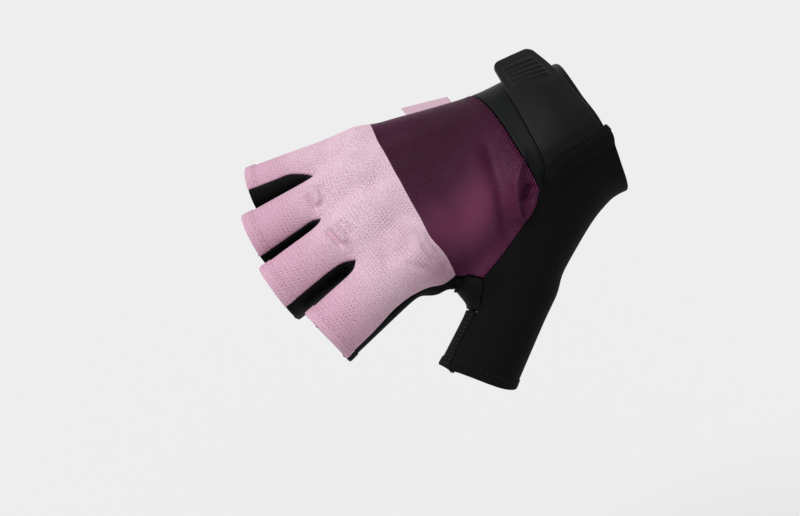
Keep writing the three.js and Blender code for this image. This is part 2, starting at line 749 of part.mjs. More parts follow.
// Its front edge runs through the ends of the lines that the panels share.
const cuffFront = [
  ...webs.map((web) => web.back[0]),
  cuffUlnar,
  ...webs.map((web) => web.below[0]).reverse(),
];
function cuffMiddle(share) {
  return cuffFront.map((guide) => {
    const front = toForm(guide, outerLevel);
    const rim = toForm([-rimTilt * front[2], front[1], front[2]], outerLevel);
    return stopAt(toForm(mix(rim, front, share), outerLevel));
  });
}
const cuffGrid = clothGrid({
  rowAt: rowBetween(cuffDorsalEdge, palmCuffSeam, cuffMiddle),
  shares: shareRange(0.006, 0.993, 8),
  columns: 30,
});
const cuff = clothBody("cuff", colours.cuff, 0.7, [cuffGrid]);

// Strap: lies on the cuff, then leaves it in a straight tab.
const strapSections = [
  { along: 0, distal: -35, proximal: -7 },
  { along: 0.25, distal: -34.8, proximal: -7 },
  { along: 0.5, distal: -33.4, proximal: -8 },
  { along: 0.75, distal: -31, proximal: -8.6 },
  { along: 1, distal: -28.6, proximal: -10.4 },
];
const strapArc = 38;
const strapTotal = strapArc + tabLength;

function strapNode(s, across, extra) {
  const t = (s / strapTotal) * (strapSections.length - 1);
  const edges = through(strapSections.map((section) => [section.distal, section.proximal, 0]), t);
  const fromEnd = strapTotal - s;
  const round = fromEnd < tabCorner ? tabCorner - Math.sqrt(tabCorner ** 2 - (tabCorner - fromEnd) ** 2) : 0;
  const x = edges[0] + round + (edges[1] - edges[0] - 2 * round) * across;
  const share = Math.min(s / strapArc, 1);
  const startAngle = -35.1 + 0.26 * (x + 4);
  const angle = (startAngle + (tabLeaveAngle - startAngle) * share) * degrees;
  const spread = 10.7 + Math.max(-22 - x, 0) * 0.227;
  const base = (a) => {
    const way = [0, Math.sin(a), Math.cos(a)];
    return castOut([x, spread * way[1], 0], way, outerLevel + strapClearance);
  };
  const start = base(angle);
  const ahead = unit(add(base(angle + 0.02), start, -1));
  const normal = unit(cross([-1, 0, 0], ahead));
  const up = normal[2] > 0 ? normal : add([0, 0, 0], normal, -1);
  const slant = tabSlant * (1 - across) * ease((s - strapArc) / (0.5 * tabLength));
  const lower = add(start, ahead, Math.max(s - strapArc, 0) - slant);
  const thick = strapEndThickness + (strapThickness - strapEndThickness) * ease((s - 4.6) / 4) + extra;
  return { outer: add(lower, up, thick), inner: lower, normal: up, noFold: true };
}
function strapGrid() {
  const ridges = Array.from({ length: ridgeCount }, (_, i) => strapTotal - ridgeFromEnd - i * ridgePitch);
  const plain = shareRange(0, strapTotal - ridgeFromEnd - ridgeCount * ridgePitch, 14).map((s) => [s, 0]);
  const half = ridgeWidth / 2;
  const foot = half + ridgeSlope;
  const bumps = ridges.reverse().flatMap((s) => [[s - foot, 0], [s - half, 1], [s + half, 1], [s + foot, 0]]);
  const end = [3.6, 2.2, 1.1, 0.4, 0.03].map((gap) => [strapTotal - gap, 0]);
  const columns = [0, 0.09, 0.12, 0.3, 0.5, 0.68, 0.82, 0.85, 1];
  return [...plain, ...bumps, ...end].map(([s, raised]) =>
    columns.map((across) => {
      const onRidge = raised && across > 0.1 && across < 0.84;
      return strapNode(s, across, onRidge ? ridgeHeight : 0);
    }),
  );
}
const strap = clothBody("strap", colours.strap, 0.65, [strapGrid()]);

// Label: a small folded tab that stands out of the seam on the little side.
const labelStart = [-46, 35, 0];
function labelGrid() {
  return shareRange(0, 1, 4).map((v) =>
    shareRange(0, 1, 5).map((u) => {
      const foot = toForm(add(labelStart, [-labelWide, 2, 0], u), outerLevel + 0.5);
      const way = unit([0, 1, -0.25]);
      const outer = add(foot, way, labelLong * v);
      const normal = unit([0, 0.25, 1]);
      const half = labelThickness / 2;
      return { outer: add(outer, normal, half), inner: add(outer, normal, -half), normal, noFold: true };
    }),
  );
}
const label = clothBody("label_tab", colours.pink, 0.7, [labelGrid()]);

const group = new THREE.Group();
group.name = "cycling_glove";
group.add(fingerBack, handBack, cuff, thumbPanel, gusset, thumbInner, palm, ...fourchettes, strap, label);

export default group;
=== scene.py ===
import math

import bpy
import numpy as np
from mathutils import Matrix


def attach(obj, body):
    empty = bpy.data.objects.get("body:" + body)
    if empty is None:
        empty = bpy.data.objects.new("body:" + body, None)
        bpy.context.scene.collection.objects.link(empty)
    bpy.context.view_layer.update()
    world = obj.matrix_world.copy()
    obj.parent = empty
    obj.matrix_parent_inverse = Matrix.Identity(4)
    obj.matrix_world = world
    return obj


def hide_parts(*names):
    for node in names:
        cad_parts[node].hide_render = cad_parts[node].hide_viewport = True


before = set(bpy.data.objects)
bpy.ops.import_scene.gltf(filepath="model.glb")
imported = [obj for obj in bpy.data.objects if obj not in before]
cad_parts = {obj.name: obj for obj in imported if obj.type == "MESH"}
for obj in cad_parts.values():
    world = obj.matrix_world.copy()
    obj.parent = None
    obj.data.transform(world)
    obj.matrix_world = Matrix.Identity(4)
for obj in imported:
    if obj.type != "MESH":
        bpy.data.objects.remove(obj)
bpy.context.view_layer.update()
print("frame loaded,", len(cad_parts), "nodes")

# Everything below is worked out in millimetres and goes into the meshes in metres.
millimetre = 0.001

# The hand form: tapered round bones, each as start, end, radius at the start and at the end.
handForm = {
    "hand": [
        (14, -10.5, 0, -22, -11, 1, 20.5, 18.5),
        (14, 11, -1, -22, 11.5, 0, 20.3, 18.2),
        (-22, -11, 3, -98, -28, 3, 16, 11.5),
        (-22, -3, 4, -104, -9, 5, 16, 11.5),
        (-22, 5, 3, -100, 11, 4, 16, 11),
        (-22, 12, 1, -92, 27, -1, 15, 10.5),
        (-30, 12, -7, -72, 22, -8, 14, 12),
        (-88, -20, -4, -84, 20, -7, 10.5, 10),
        (-112.5, -20.6, 1, -112, -20.6, -5, 6.4, 6.4),
        (-115.5, 2.6, 0, -115, 2.6, -6, 6.4, 6.4),
        (-108.5, 24.8, -3, -108, 24.4, -8, 6.2, 6.2),
        (-24, -18, -6, -58, -44, -17, 17, 14.5),
        (-60, -36, -9, -74, -43.5, -12, 8, 7),
        (-82, -34, -8, -92, -36.5, -6, 2.6, 4),
    ],
    "index": [(-98, -29.5, 3, -146, -40.5, -15.5, 11.2, 11.6)],
    "middle": [(-104, -8, 5, -155, -12.2, -15.5, 11.2, 11.6)],
    "ring": [(-100, 12, 4, -152, 16.5, -16, 10.8, 11)],
    "little": [(-92, 28.5, 0, -142, 42, -17.5, 9.8, 9.8)],
    "thumb": [
        (-57, -45, -17, -93.6, -72.5, -29.5, 10.8, 11.8),
        (-56, -48, -17, -90, -77, -29.5, 11.8, 11.4),
    ],
}
softness = {"hand": 3.5, "index": 1, "middle": 1, "ring": 1, "little": 1, "thumb": 2.5}
joining = {"fingers": 0.4, "all": 1.6, "fingerClearance": 1.95, "flattening": 0.8}
clothLevel = 1.3

# Rays start this far under the cloth, or at the shallow depth where another panel is close.
rayDepth, shallowDepth = 8, 3
raySamples, castSteps, castStride, layingSteps = 61, 45, 0.85, 10
# The lowest a hidden edge goes under the cloth, and the lowest it goes over the root of the thumb.
hiddenLow, thumbRootLow = -2.3, -1.1

fingerNames = ["index", "middle", "ring", "little"]
boneTable = np.array([bone for bones in handForm.values() for bone in bones], float)
boneStart, boneEnd = boneTable[:, :3], boneTable[:, 3:6]
boneSpan = boneEnd - boneStart
spanSquared = (boneSpan**2).sum(-1)
groupOfBone = np.array([name for name, bones in handForm.items() for _ in bones])


def dot(a, b):
    return (a * b).sum(-1)


def unit(v):
    return v / np.linalg.norm(v, axis=-1, keepdims=True)


def ease(t):
    # 3t^2 - 2t^3 between 0 and 1
    t = np.clip(t, 0, 1)
    return t * t * (3 - 2 * t)


def softMin(values, blend):
    # minus blend times the logarithm of the sum of exp(-value / blend)
    low = values.min(-1)
    return low - blend * np.log(np.exp((low[..., None] - values) / blend).sum(-1))


def flatBetween(first, second):
    # The flat halfway between the skins of two neighbouring fingers: a point, the way along and the way across.
    a, b = [np.array(handForm[name][0], float) for name in (first, second)]
    places, ways = [], []
    for t in (0.3, 0.88):
        pa, pb = a[:3] + t * (a[3:6] - a[:3]), b[:3] + t * (b[3:6] - b[:3])
        ra, rb = a[6] + t * (a[7] - a[6]), b[6] + t * (b[7] - b[6])
        apart = np.linalg.norm(pb - pa)
        places.append(pa + (pb - pa) * (ra + (apart - ra - rb) / 2) / apart)
        ways.append((pb - pa) / apart)
    line = unit(places[1] - places[0])
    across = ways[0] + ways[1]
    return places[0], line, unit(across - line * dot(line, across))


flats = [flatBetween(*fingerNames[i : i + 2]) for i in range(3)]


def formValue(p):
    # Distance to each bone is |p - start - t span| - radius(t), with t clipped to the bone; soft minima melt them.
    flat = p.reshape(-1, 3)
    alongSpan = flat @ boneSpan.T - dot(boneStart, boneSpan)
    t = np.clip(alongSpan / spanSquared, 0, 1)
    square = dot(flat, flat)[:, None] - 2 * flat @ boneStart.T + dot(boneStart, boneStart)
    square += t * (t * spanSquared - 2 * alongSpan)
    gap = np.sqrt(np.maximum(square, 1e-9)) - boneTable[:, 6] - t * (boneTable[:, 7] - boneTable[:, 6])
    melted = {name: softMin(gap[:, groupOfBone == name], softness[name]) for name in handForm}
    for i, (place, _, across) in enumerate(flats):
        off = flat @ across - place @ across
        for name, sign in ((fingerNames[i], 1), (fingerNames[i + 1], -1)):
            sides = np.stack([-melted[name], -sign * off - joining["fingerClearance"]], -1)
            melted[name] = -softMin(sides, joining["flattening"])
    fingers = softMin(np.stack([melted[name] for name in fingerNames], -1), joining["fingers"])
    whole = softMin(np.stack([melted["hand"], melted["thumb"], fingers], -1), joining["all"])
    return whole.reshape(p.shape[:-1])


def normalAt(p, step=0.4):
    # central differences of the form's value
    moves = step * np.eye(3)
    return unit(np.stack([formValue(p + move) - formValue(p - move) for move in moves], -1))


def toForm(p, level=clothLevel):
    # steps along the normal by what is missing to the level
    p = np.array(p, float)
    for _ in range(layingSteps):
        p = p + normalAt(p) * (level - formValue(p))[..., None]
    return p


def castOut(seed, way, level):
    # travels from the seed along the way until the form's value is the level
    travel = np.zeros(seed.shape[:-1])
    for _ in range(castSteps):
        travel = np.maximum(travel + castStride * (level - formValue(seed + travel[..., None] * way)), 0)
    return seed + travel[..., None] * way


def through(points, t):
    # Catmull-Rom line through the points; t counts them from 0. The points may differ from row to row.
    points = np.asarray(points, float)
    count = points.shape[-2]
    before = 2 * points[..., :1, :] - points[..., 1:2, :]
    after = 2 * points[..., -1:, :] - points[..., -2:-1, :]
    padded = np.concatenate([before, points, after], -2)
    i = np.clip(np.floor(t).astype(int), 0, count - 2)
    f = (t - i)[..., None]
    if points.ndim == 2:
        a, b, c, d = [padded[i + k] for k in range(4)]
    else:
        a, b, c, d = [np.take_along_axis(padded, (i + k)[..., None], -2) for k in range(4)]
    square, cube = 2 * a - 5 * b + 4 * c - d, 3 * b - a - 3 * c + d
    return 0.5 * (2 * b + (c - a) * f + square * f**2 + cube * f**3)


def seam(guides):
    # a smooth line through guide points, laid on the form; share runs from 0 to 1
    guides = np.array(guides, float)
    return lambda share: toForm(through(guides, share * (len(guides) - 1)))


def chain(seams, ends):
    # seams joined end to end; ends holds the share where each one stops
    def line(share):
        which = np.minimum(np.searchsorted(np.array(ends) + 1e-9, share), len(ends) - 1)
        points = np.zeros(share.shape + (3,))
        for k, (part, begin, end) in enumerate(zip(seams, [0, *ends], ends)):
            mine = which == k
            if mine.any():
                points[mine] = part((share[mine] - begin) / (end - begin))
        return points

    return line


def backwards(line):
    return lambda share: line(1 - share)


def stopAt(points, depth=rayDepth):
    # a ray that starts below the cloth and leaves it square at each point
    way = normalAt(points)
    return points - way * np.reshape(depth, (-1, 1)), way, points


# Finger stalls: their bones' shares and the seam angles round them, 0 at the back and plus to the little side.
stalls = {
    "index": {"start": 0.31, "hem": 0.873, "radial": (-87, -87), "ulnar": (52, 66), "under": (-87, 122)},
    "middle": {"start": 0.285, "hem": 0.876, "radial": (-54, -58), "ulnar": (52, 66), "under": (-122, 122)},
    "ring": {"start": 0.34, "hem": 0.887, "radial": (-52, -62), "ulnar": (55, 68), "under": (-122, 122)},
    "little": {"start": 0.39, "hem": 0.882, "radial": (-24, -26), "ulnar": (87, 87), "under": (-110, 87)},
}

# Webs: core, top and underside, the lines on the back up to the colour change and past it, and the lines below.
webs = [
    {
        "core": (-111.5, -20.6, -2),
        "top": (-119.7, -21, 7.5),
        "under": (-117, -21, -11),
        "above": [(-90, -17.5, 17.6), (-104, -18.7, 14)],
        "back": [(-41.6, -12, 21), (-64, -14, 20)],
        "below": [(-38.5, -5, -21), (-62, -11, -20), (-85, -17.5, -14), (-103, -18.5, -10)],
    },
    {
        "core": (-114.5, 2.6, -3),
        "top": (-122.7, 3.2, 5.8),
        "under": (-120, 2.8, -12),
        "above": [(-89.6, 1, 18.2), (-105, 1.5, 15)],
        "back": [(-41.6, 4, 22), (-64, 3, 21)],
        "below": [(-39.5, 7, -21), (-62, 5, -20), (-85, 2, -14), (-104, 3, -10)],
    },
    {
        "core": (-107.5, 24.5, -5.5),
        "top": (-115.6, 26.8, 2.6),
        "under": (-113, 25, -13),
        "above": [(-88.1, 19.5, 14.9), (-102, 22.5, 12)],
        "back": [(-41.6, 19, 18), (-64, 20, 17)],
        "below": [(-40.5, 21, -17), (-62, 22, -20), (-85, 20.5, -16), (-101, 23.5, -12)],
    },
]

# Corners where three or more panels meet.
corners = {
    "rimTop": (-4.2, -17, 21.5),
    "rimUnder": (3.4, -17, -17),
    "flap": (-40, -28.6, 14),
    "palm": (-38, -15, -24),
    "lineRadial": (-84, -40, -3),
    "lineUlnar": (-84.6, 36.5, 0),
    "webDorsal": (-74.4, -47, -2.2),
    "stallDorsal": (-82, -54.6, -10.6),
    "stallPalmar": (-72.3, -44.5, -31),
    "cuffUlnar": (-41.5, 33, 0),
}
thumbHem = {"centre": (-90.8, -73, -28), "up": (-0.454, -0.404, 0.79), "inward": (-0.667, 0.746, 0), "radius": 13}


def fingerFrame(name):
    a, b = boneStart[groupOfBone == name][0], boneEnd[groupOfBone == name][0]
    axis = unit(b - a)
    up = unit(np.array([0, 0, 1.0]) - axis * axis[2])
    return a, b, up, unit(np.cross(axis, up))


def fingerWay(name, angle):
    # cos(angle) towards the finger's back and sin(angle) towards the little side
    _, _, up, side = fingerFrame(name)
    angle = np.radians(np.asarray(angle, float))[..., None]
    return np.cos(angle) * up + np.sin(angle) * side


def fingerPoint(name, share, angle):
    a, b, _, _ = fingerFrame(name)
    stall = stalls[name]
    along = stall["start"] + share * (stall["hem"] - stall["start"])
    return a + (b - a) * along + fingerWay(name, angle) * (handForm[name][0][6] + clothLevel)


def webCorners(web, flat, reach=8):
    # the web's corners lie on the flat between its two fingers, the front one at the reach from its core
    place, line, across = flat

    def onFlat(p):
        return p - across * dot(p - place, across)

    def onSkin(p):
        return onFlat(toForm(onFlat(toForm(onFlat(np.array(p, float))))))

    return {"top": onSkin(web["top"]), "under": onSkin(web["under"]), "front": onSkin(web["core"] + line * reach)}


webPoints = [webCorners(web, flat) for web, flat in zip(webs, flats)]
webRound = 0.5  # how far each web's opening is rounded out to both sides


def stallStops(name, i, face, angles):
    # along a finger's seam, from the way out of the web to the finger's own way
    def angleAt(share):
        return angles[0] + (angles[1] - angles[0]) * ease(share * 1.1 - 0.1)

    start, first = webPoints[i][face], fingerPoint(name, 0.3, angleAt(0.3))
    aside = flats[i][2] * (-webRound if name == fingerNames[i] else webRound) * (face == "top")
    early = start + (first - start) * 0.5 + aside
    line = seam([start, early, *[fingerPoint(name, s, angleAt(s)) for s in (0.32, 0.53, 0.77, 1)]])
    webWay = {"top": np.array([-0.5, 0, 0.87]), "under": np.array([-0.5, 0, -0.87]), "front": flats[i][1]}[face]

    def stops(share):
        point, t = line(share), ease(share / 0.35)[:, None]
        way = unit(webWay * (1 - t) + fingerWay(name, angleAt(share)) * t)
        return point - way * rayDepth, way, point

    return stops


indexOuter = seam(
    [corners["lineRadial"], (-90, -40.3, -3.5), (-98, -42.3, 0)]
    + [fingerPoint("index", i / 4, angle) for i, angle in enumerate((-78, -82, -86, -87, -87))]
)
littleOuter = seam(
    [corners["lineUlnar"], (-97, 38.8, -2)] + [fingerPoint("little", s, 87) for s in (-0.05, 0.22, 0.48, 0.74, 1)]
)
ulnarSeam = seam([corners["cuffUlnar"], (-56, 35.2, 0), (-71, 36.4, 0), corners["lineUlnar"]])
backLines = [seam([*web["back"], web["above"][0]]) for web in webs]
aboveLines = [seam([*web["above"], corner["top"]]) for web, corner in zip(webs, webPoints)]
palmLines = [seam(web["below"][:3]) for web in webs]
belowLines = [seam([*web["below"][2:], corner["under"]]) for web, corner in zip(webs, webPoints)]
webShare = {"index": 0.44, "little": 0.36}


def thumbHemPoint(angle):
    angle = math.radians(angle)
    way = math.cos(angle) * np.array(thumbHem["up"]) + math.sin(angle) * np.array(thumbHem["inward"])
    return np.array(thumbHem["centre"]) + thumbHem["radius"] * way


cuffSeam = seam([corners["rimTop"], (-17.5, -19.5, 21.9), (-33, -22, 19.8), corners["flap"]])
plumSeam = seam([corners["flap"], (-44.5, -32.8, 9.2), (-53, -37.4, 5), (-63.5, -42.7, 1.8), corners["webDorsal"]])
gussetSeam = seam([corners["webDorsal"], (-77, -51.4, -6.4), corners["stallDorsal"]])
stitchedSeam = seam([corners["stallDorsal"], (-88.6, -59.2, -13.1), (-94.6, -63.8, -15.6), thumbHemPoint(36)])
palmCuffSeam = seam([corners["rimUnder"], (-12, -15, -19), (-25, -13, -22), corners["palm"]])
thenarSeam = seam([corners["palm"], (-50, -18, -27), (-62, -27, -30), corners["stallPalmar"]])
stallUnderSeam = seam([corners["stallPalmar"], (-81, -54.5, -35), thumbHemPoint(150)])
gussetGuides = [(-84.3, -42, -8), (-83, -39.5, -13.5), (-79, -38.5, -19), (-75, -40, -25)]
gussetPalmSeam = seam([corners["lineRadial"], *gussetGuides, corners["stallPalmar"]])
print("seam lines laid on the hand form")

# Cut edges, from the hidden end to the open cloth: distance from the edge and height over the cloth.
hemGroove = (3.2, 0.24)  # where the hem is stitched down
edgeForms = {
    "seam": [(0, -2.3), (0, -1.3), (0, -0.62), (0.08, -0.32), (0.24, -0.13), (0.5, -0.04), (0.9, 0)],
    "butt": [(0, -1.6), (0, -0.9), (0, -0.3), (0.03, -0.1), (0.1, -0.04), (0.25, -0.01), (0.6, 0)],
    "raw": [(0, -0.6), (0, -0.45), (0, -0.25), (0.05, -0.12), (0.15, -0.04), (0.4, 0), (0.9, 0)],
    "lap": [(2.4, -0.85), (0.8, -0.9), (0.12, -0.75), (0, -0.42), (0.06, -0.14), (0.28, -0.02), (0.9, 0)],
    "fold": [(3, -1.1), (0.7, -1.1), (0.15, -0.92), (0, -0.5), (0.06, -0.16), (0.3, -0.03), (0.8, 0)],
    "hem": [(4, -1.2), (2, -1.25), (0.6, -1.2), (0.14, -0.98), (0, -0.5), (0, -0.05), (0.1, 0.22), (0.34, 0.4)]
    + [(0.8, 0.48), (1.6, 0.5), (2.4, 0.48), (2.9, 0.4), hemGroove, (3.5, 0.4), (3.8, 0.42), (4.0, 0.3)]
    + [(4.15, 0.1), (4.4, 0)],
}

# Folds and dents of the worn cloth: half width, height and a few points along each.
folds = [
    (3.4, -2.7, [(-50.6, -0.8, 21.2), (-53.3, -12.9, 20.5), (-55.2, -23.3, 18.1), (-56.8, -29.1, 14.9),
        (-58, -33.7, 9.8), (-59.5, -39.3, 3.1)]),
    (2.0, 2.5, [(-40.8, -15.4, 21.2), (-45.3, -19.7, 19.6), (-49.1, -24.4, 17.6), (-51.1, -29, 14.4),
        (-52, -33, 9.7), (-51.2, -35.6, 6.1)]),
    (0.9, -1.9, [(-46.5, -25.4, 16.9), (-49.1, -28.5, 14.6), (-50.1, -32.2, 10.5), (-50, -34.3, 7.6)]),
    (1.8, -3.6, [(-43.2, -25.4, 16.8), (-45.6, -28.3, 14.6), (-47.2, -30.5, 12.3)]),
    (1.9, 0.9, [(-43.8, 2, 22.8), (-43.8, -8, 22.6), (-44.4, -18, 20.6)]),
    (1.1, 1.0, [(-42.9, -30.8, 11.7), (-46.5, -33.7, 8.1), (-49.6, -35.5, 6.2)]),
    (1.9, 1.1, [(-121.2, 15.6, 9), (-120.6, 11, 9.6), (-121.6, 7, 8)]),
    (0.9, -1.9, [(-123.3, 15, 8), (-123.3, 10.1, 7.8), (-122.7, 6.5, 6.5)]),
    (0.9, -1.6, [(-118.8, 16.4, 9.4), (-117.9, 12.3, 10.3), (-118.6, 8.8, 9.6), (-121.4, 6, 7)]),
    (1.0, -3.0, [(-124.4, -4.4, 9.6), (-123.8, -8.9, 10.7), (-123.1, -12.2, 10.6), (-121.6, -17, 9)]),
    (1.4, 1.7, [(-121.6, -5.4, 11.3), (-121, -11, 12), (-119.7, -16.2, 10.6)]),
    (1.0, -1.5, [(-118.6, -6, 13), (-117.6, -11, 13.4), (-117, -15, 12.6)]),
    (4.2, -1.7, [(-113, -31, 10.5), (-104.5, -31.5, 15.2), (-96, -29.6, 17.3)]),
    (5, -1.1, [(-112, 3.5, 14), (-96, 0, 18.4)]),
    (1.3, -1.5, [(-95.6, -32.4, 16.3), (-92.4, -38.5, 11.7), (-86.4, -40.9, 1.3)]),
    (1.2, -1.1, [(-104, -36.2, 13.3), (-97.4, -40.5, 10.5), (-88, -41.4, 1)]),
    (1.3, -1.2, [(-91.7, -28.9, 16.7), (-89.7, -36.4, 12.8), (-85.2, -40.3, 2.6)]),
    (3, -1.0, [(-105.5, -24, 15), (-108.9, -27.4, 13.3), (-112.3, -30.7, 11.4)]),
]


def foldShift(p):
    # sum over the folds of height * exp(-(distance / width)^2), fading out towards both ends of each
    shift = np.zeros(p.shape[:-1])
    for width, height, places in folds:
        line = np.array(places, float)
        away, along = np.full(p.shape[:-1], 1e9), np.zeros(p.shape[:-1])
        for k, (start, span) in enumerate(zip(line, np.diff(line, axis=0))):
            t = np.clip(dot(p - start, span) / dot(span, span), 0, 1)
            far = np.linalg.norm(p - start - t[..., None] * span, axis=-1)
            along = np.where(far < away, (k + t) / (len(line) - 1), along)
            away = np.minimum(away, far)
        fade = ease(4 * np.minimum(along, 1 - along) + 0.25)
        shift += height * fade * np.exp(-((away / width) ** 2))
    return shift


def relax(grid, rows, joint, held=(True, True), reach=6, rounds=60):
    # evens out the rows on both sides of a joint: each point moves towards the middle of its neighbours along v
    slope, heldWidth, share = 1.6, 2.5, 0.5
    near = ease(slope - np.abs(rows - joint) / reach * slope)[:, None]
    # a held side keeps its line, such as the way round a web; a free one counts as endlessly far
    fromSides = (grid["arcs"], grid["total"] - grid["arcs"])
    inner = ease(np.minimum(*[np.where(hold, gap, np.inf) for hold, gap in zip(held, fromSides)]) / heldWidth - 0.1)
    weight = (near * inner * share)[1:-1, :, None]
    points = grid["points"]
    for _ in range(rounds):
        points[1:-1] += weight * ((points[:-2] + points[2:]) / 2 - points[1:-1])
    moved = np.flatnonzero(near[:, 0] > 0)
    points[moved] = toForm(points[moved], grid["level"][moved])
    grid["normals"][moved] = normalAt(points[moved])
    return grid


def rowsBetween(begin, end, count, first=None, last=None):
    # places of the rows in millimetres and their heights, with the rows of an edge form at either end
    head = np.array(edgeForms[first] if first else [(0, 0)], float)
    tail = np.array(edgeForms[last] if last else [(0, 0)], float)[::-1]
    middle = np.linspace(begin + head[-1, 0], end - tail[0, 0], count)[1:-1]
    places = np.concatenate([begin + head[:, 0], middle, end - tail[:, 0]])
    return places, np.concatenate([head[:, 1], 0 * middle, tail[:, 1]])


def layCloth(
    stops, heights, count, span=None, insets=0.06, edges=("seam", "seam"), opened=(1, 1), lift=None, deepest=hiddenLow
):
    # Each row is a fan of rays through its stops, and the cloth lies where the rays leave the form.
    # Columns are evenly spaced along the row, with those of an edge form at both ends; opened is 0 on a shared line.
    rowCount = len(heights)
    seeds, ways = [np.stack([stop[k] for stop in stops], 1) for k in (0, 1)]
    begin, end = span or (0, len(stops) - 1)
    fine = np.broadcast_to(np.linspace(begin, end, raySamples), (rowCount, raySamples))
    line = castOut(through(seeds, fine), unit(through(ways, fine)), clothLevel)
    steps = np.linalg.norm(np.diff(line, axis=1), axis=-1)
    lengths = np.concatenate([np.zeros((rowCount, 1)), np.cumsum(steps, 1)], 1)
    total = lengths[:, -1:]
    sideForms = [np.array(edgeForms[edge] if isinstance(edge, str) else edge, float) for edge in edges]
    sideForms = [np.broadcast_to(form, (rowCount, *form.shape[-2:])) for form in sideForms]
    opened = np.broadcast_to(np.array(opened, float), (rowCount, 2))
    insets = np.broadcast_to(np.array(insets, float), (rowCount, 2)) * opened
    left = insets[:, :1] + sideForms[0][..., 0]
    right = total - insets[:, 1:] - sideForms[1][:, ::-1, 0]
    even = left[:, -1:] + (right[:, :1] - left[:, -1:]) * np.linspace(0, 1, count)[1:-1]
    arcs = np.concatenate([left, even, right], 1)
    edgeHeights = [sideForms[0][..., 1] * opened[:, :1], 0 * even, sideForms[1][:, ::-1, 1] * opened[:, 1:]]
    level = clothLevel + np.maximum(np.asarray(heights)[:, None] + np.concatenate(edgeHeights, 1), deepest)
    if lift is not None:
        level = level + lift(arcs, total)
    at = np.stack([np.interp(arc, length, t) for arc, length, t in zip(arcs, lengths, fine)])
    points = castOut(through(seeds, at), unit(through(ways, at)), level)
    for stop, side, columns in ((stops[begin], 0, slice(0, 3)), (stops[end], 1, slice(-3, None))):
        shared = opened[:, side] == 0
        if shared.any():
            points[shared, columns] = toForm(stop[2][shared], level[shared][:, columns][:, 0])[:, None]
    return {"points": points, "normals": normalAt(points), "arcs": arcs, "total": total, "level": level}


def joinRows(parts):
    return {key: np.concatenate([part[key] for part in parts]) for key in parts[0]}


# Where the cloth is pulled aside, so that the line of the colour change bulges.
pulled = {"centre": (-87.5, -30, 14), "reach": 8.5, "move": (-2.5, 0, 0), "least": 0.002}


def pull(grid):
    # moves by move * exp(-(distance / reach)^2) and lays the cloth back on the form
    points = grid["points"]
    away = np.linalg.norm(points - np.array(pulled["centre"]), axis=-1)
    share = np.exp(-((away / pulled["reach"]) ** 2))
    moved = np.flatnonzero(share.max(1) > pulled["least"])
    points[moved] = toForm(points[moved] + share[moved, :, None] * np.array(pulled["move"]), grid["level"][moved])
    grid["normals"][moved] = normalAt(points[moved])
    return grid


def bend(grid):
    # lays the folds on a grid of cloth
    grid["points"] = grid["points"] + grid["normals"] * foldShift(grid["points"])[..., None]
    return grid


def makeMesh(name, points, faces, weave=None):
    mesh = bpy.data.meshes.new(name)
    mesh.from_pydata((points * millimetre).tolist(), [], faces)
    if weave is not None:
        corner = np.zeros(len(mesh.loops), np.int32)
        mesh.loops.foreach_get("vertex_index", corner)
        mesh.uv_layers.new(name="weave").data.foreach_set("uv", weave[corner].ravel())
    mesh.shade_smooth()
    piece = bpy.data.objects.new(name, mesh)
    bpy.context.scene.collection.objects.link(piece)
    return piece


def gridFaces(rows, columns):
    ids = np.arange(rows * columns).reshape(rows, columns)
    return np.stack([ids[:-1, :-1], ids[:-1, 1:], ids[1:, 1:], ids[1:, :-1]], -1).reshape(-1, 4)


def mergeCorners(points, quads, cellsPerMillimetre):
    # corners in one cell become one corner, and a quad that loses a side becomes a triangle
    cells = np.round(points * cellsPerMillimetre).astype(int)
    _, kept, merged = np.unique(cells, axis=0, return_index=True, return_inverse=True)
    quads = merged.reshape(-1)[quads]
    same = quads == np.roll(quads, -1, axis=1)
    lost = same.sum(1)
    threes = quads[lost == 1][~same[lost == 1]].reshape(-1, 3)
    return kept, quads[lost == 0].tolist() + threes.tolist()


def sewPanel(name, grids, weaves, thickness=0.75):
    # One mesh from grids of cloth. Solidify gives the cloth its thickness inwards.
    points, weave, quads, first = [], [], [], 0
    for grid, uv in zip(grids, weaves):
        flat, normals = grid["points"].reshape(-1, 3), grid["normals"].reshape(-1, 3)
        faces = gridFaces(*grid["points"].shape[:2])
        a, b, c, d = [flat[faces[:, k]] for k in range(4)]
        facing = dot(np.cross(c - a, d - b), normals[faces[:, 0]]).sum()
        quads.append((faces if facing > 0 else faces[:, ::-1]) + first)
        points.append(flat)
        weave.append(uv.reshape(-1, 2))
        first += len(flat)
    points = np.concatenate(points)
    kept, faces = mergeCorners(points, np.concatenate(quads), cellsPerMillimetre=250)
    piece = makeMesh(name, points[kept], faces, np.concatenate(weave)[kept])
    wall = piece.modifiers.new("cloth thickness", "SOLIDIFY")
    wall.thickness, wall.offset = thickness * millimetre, -1
    return piece


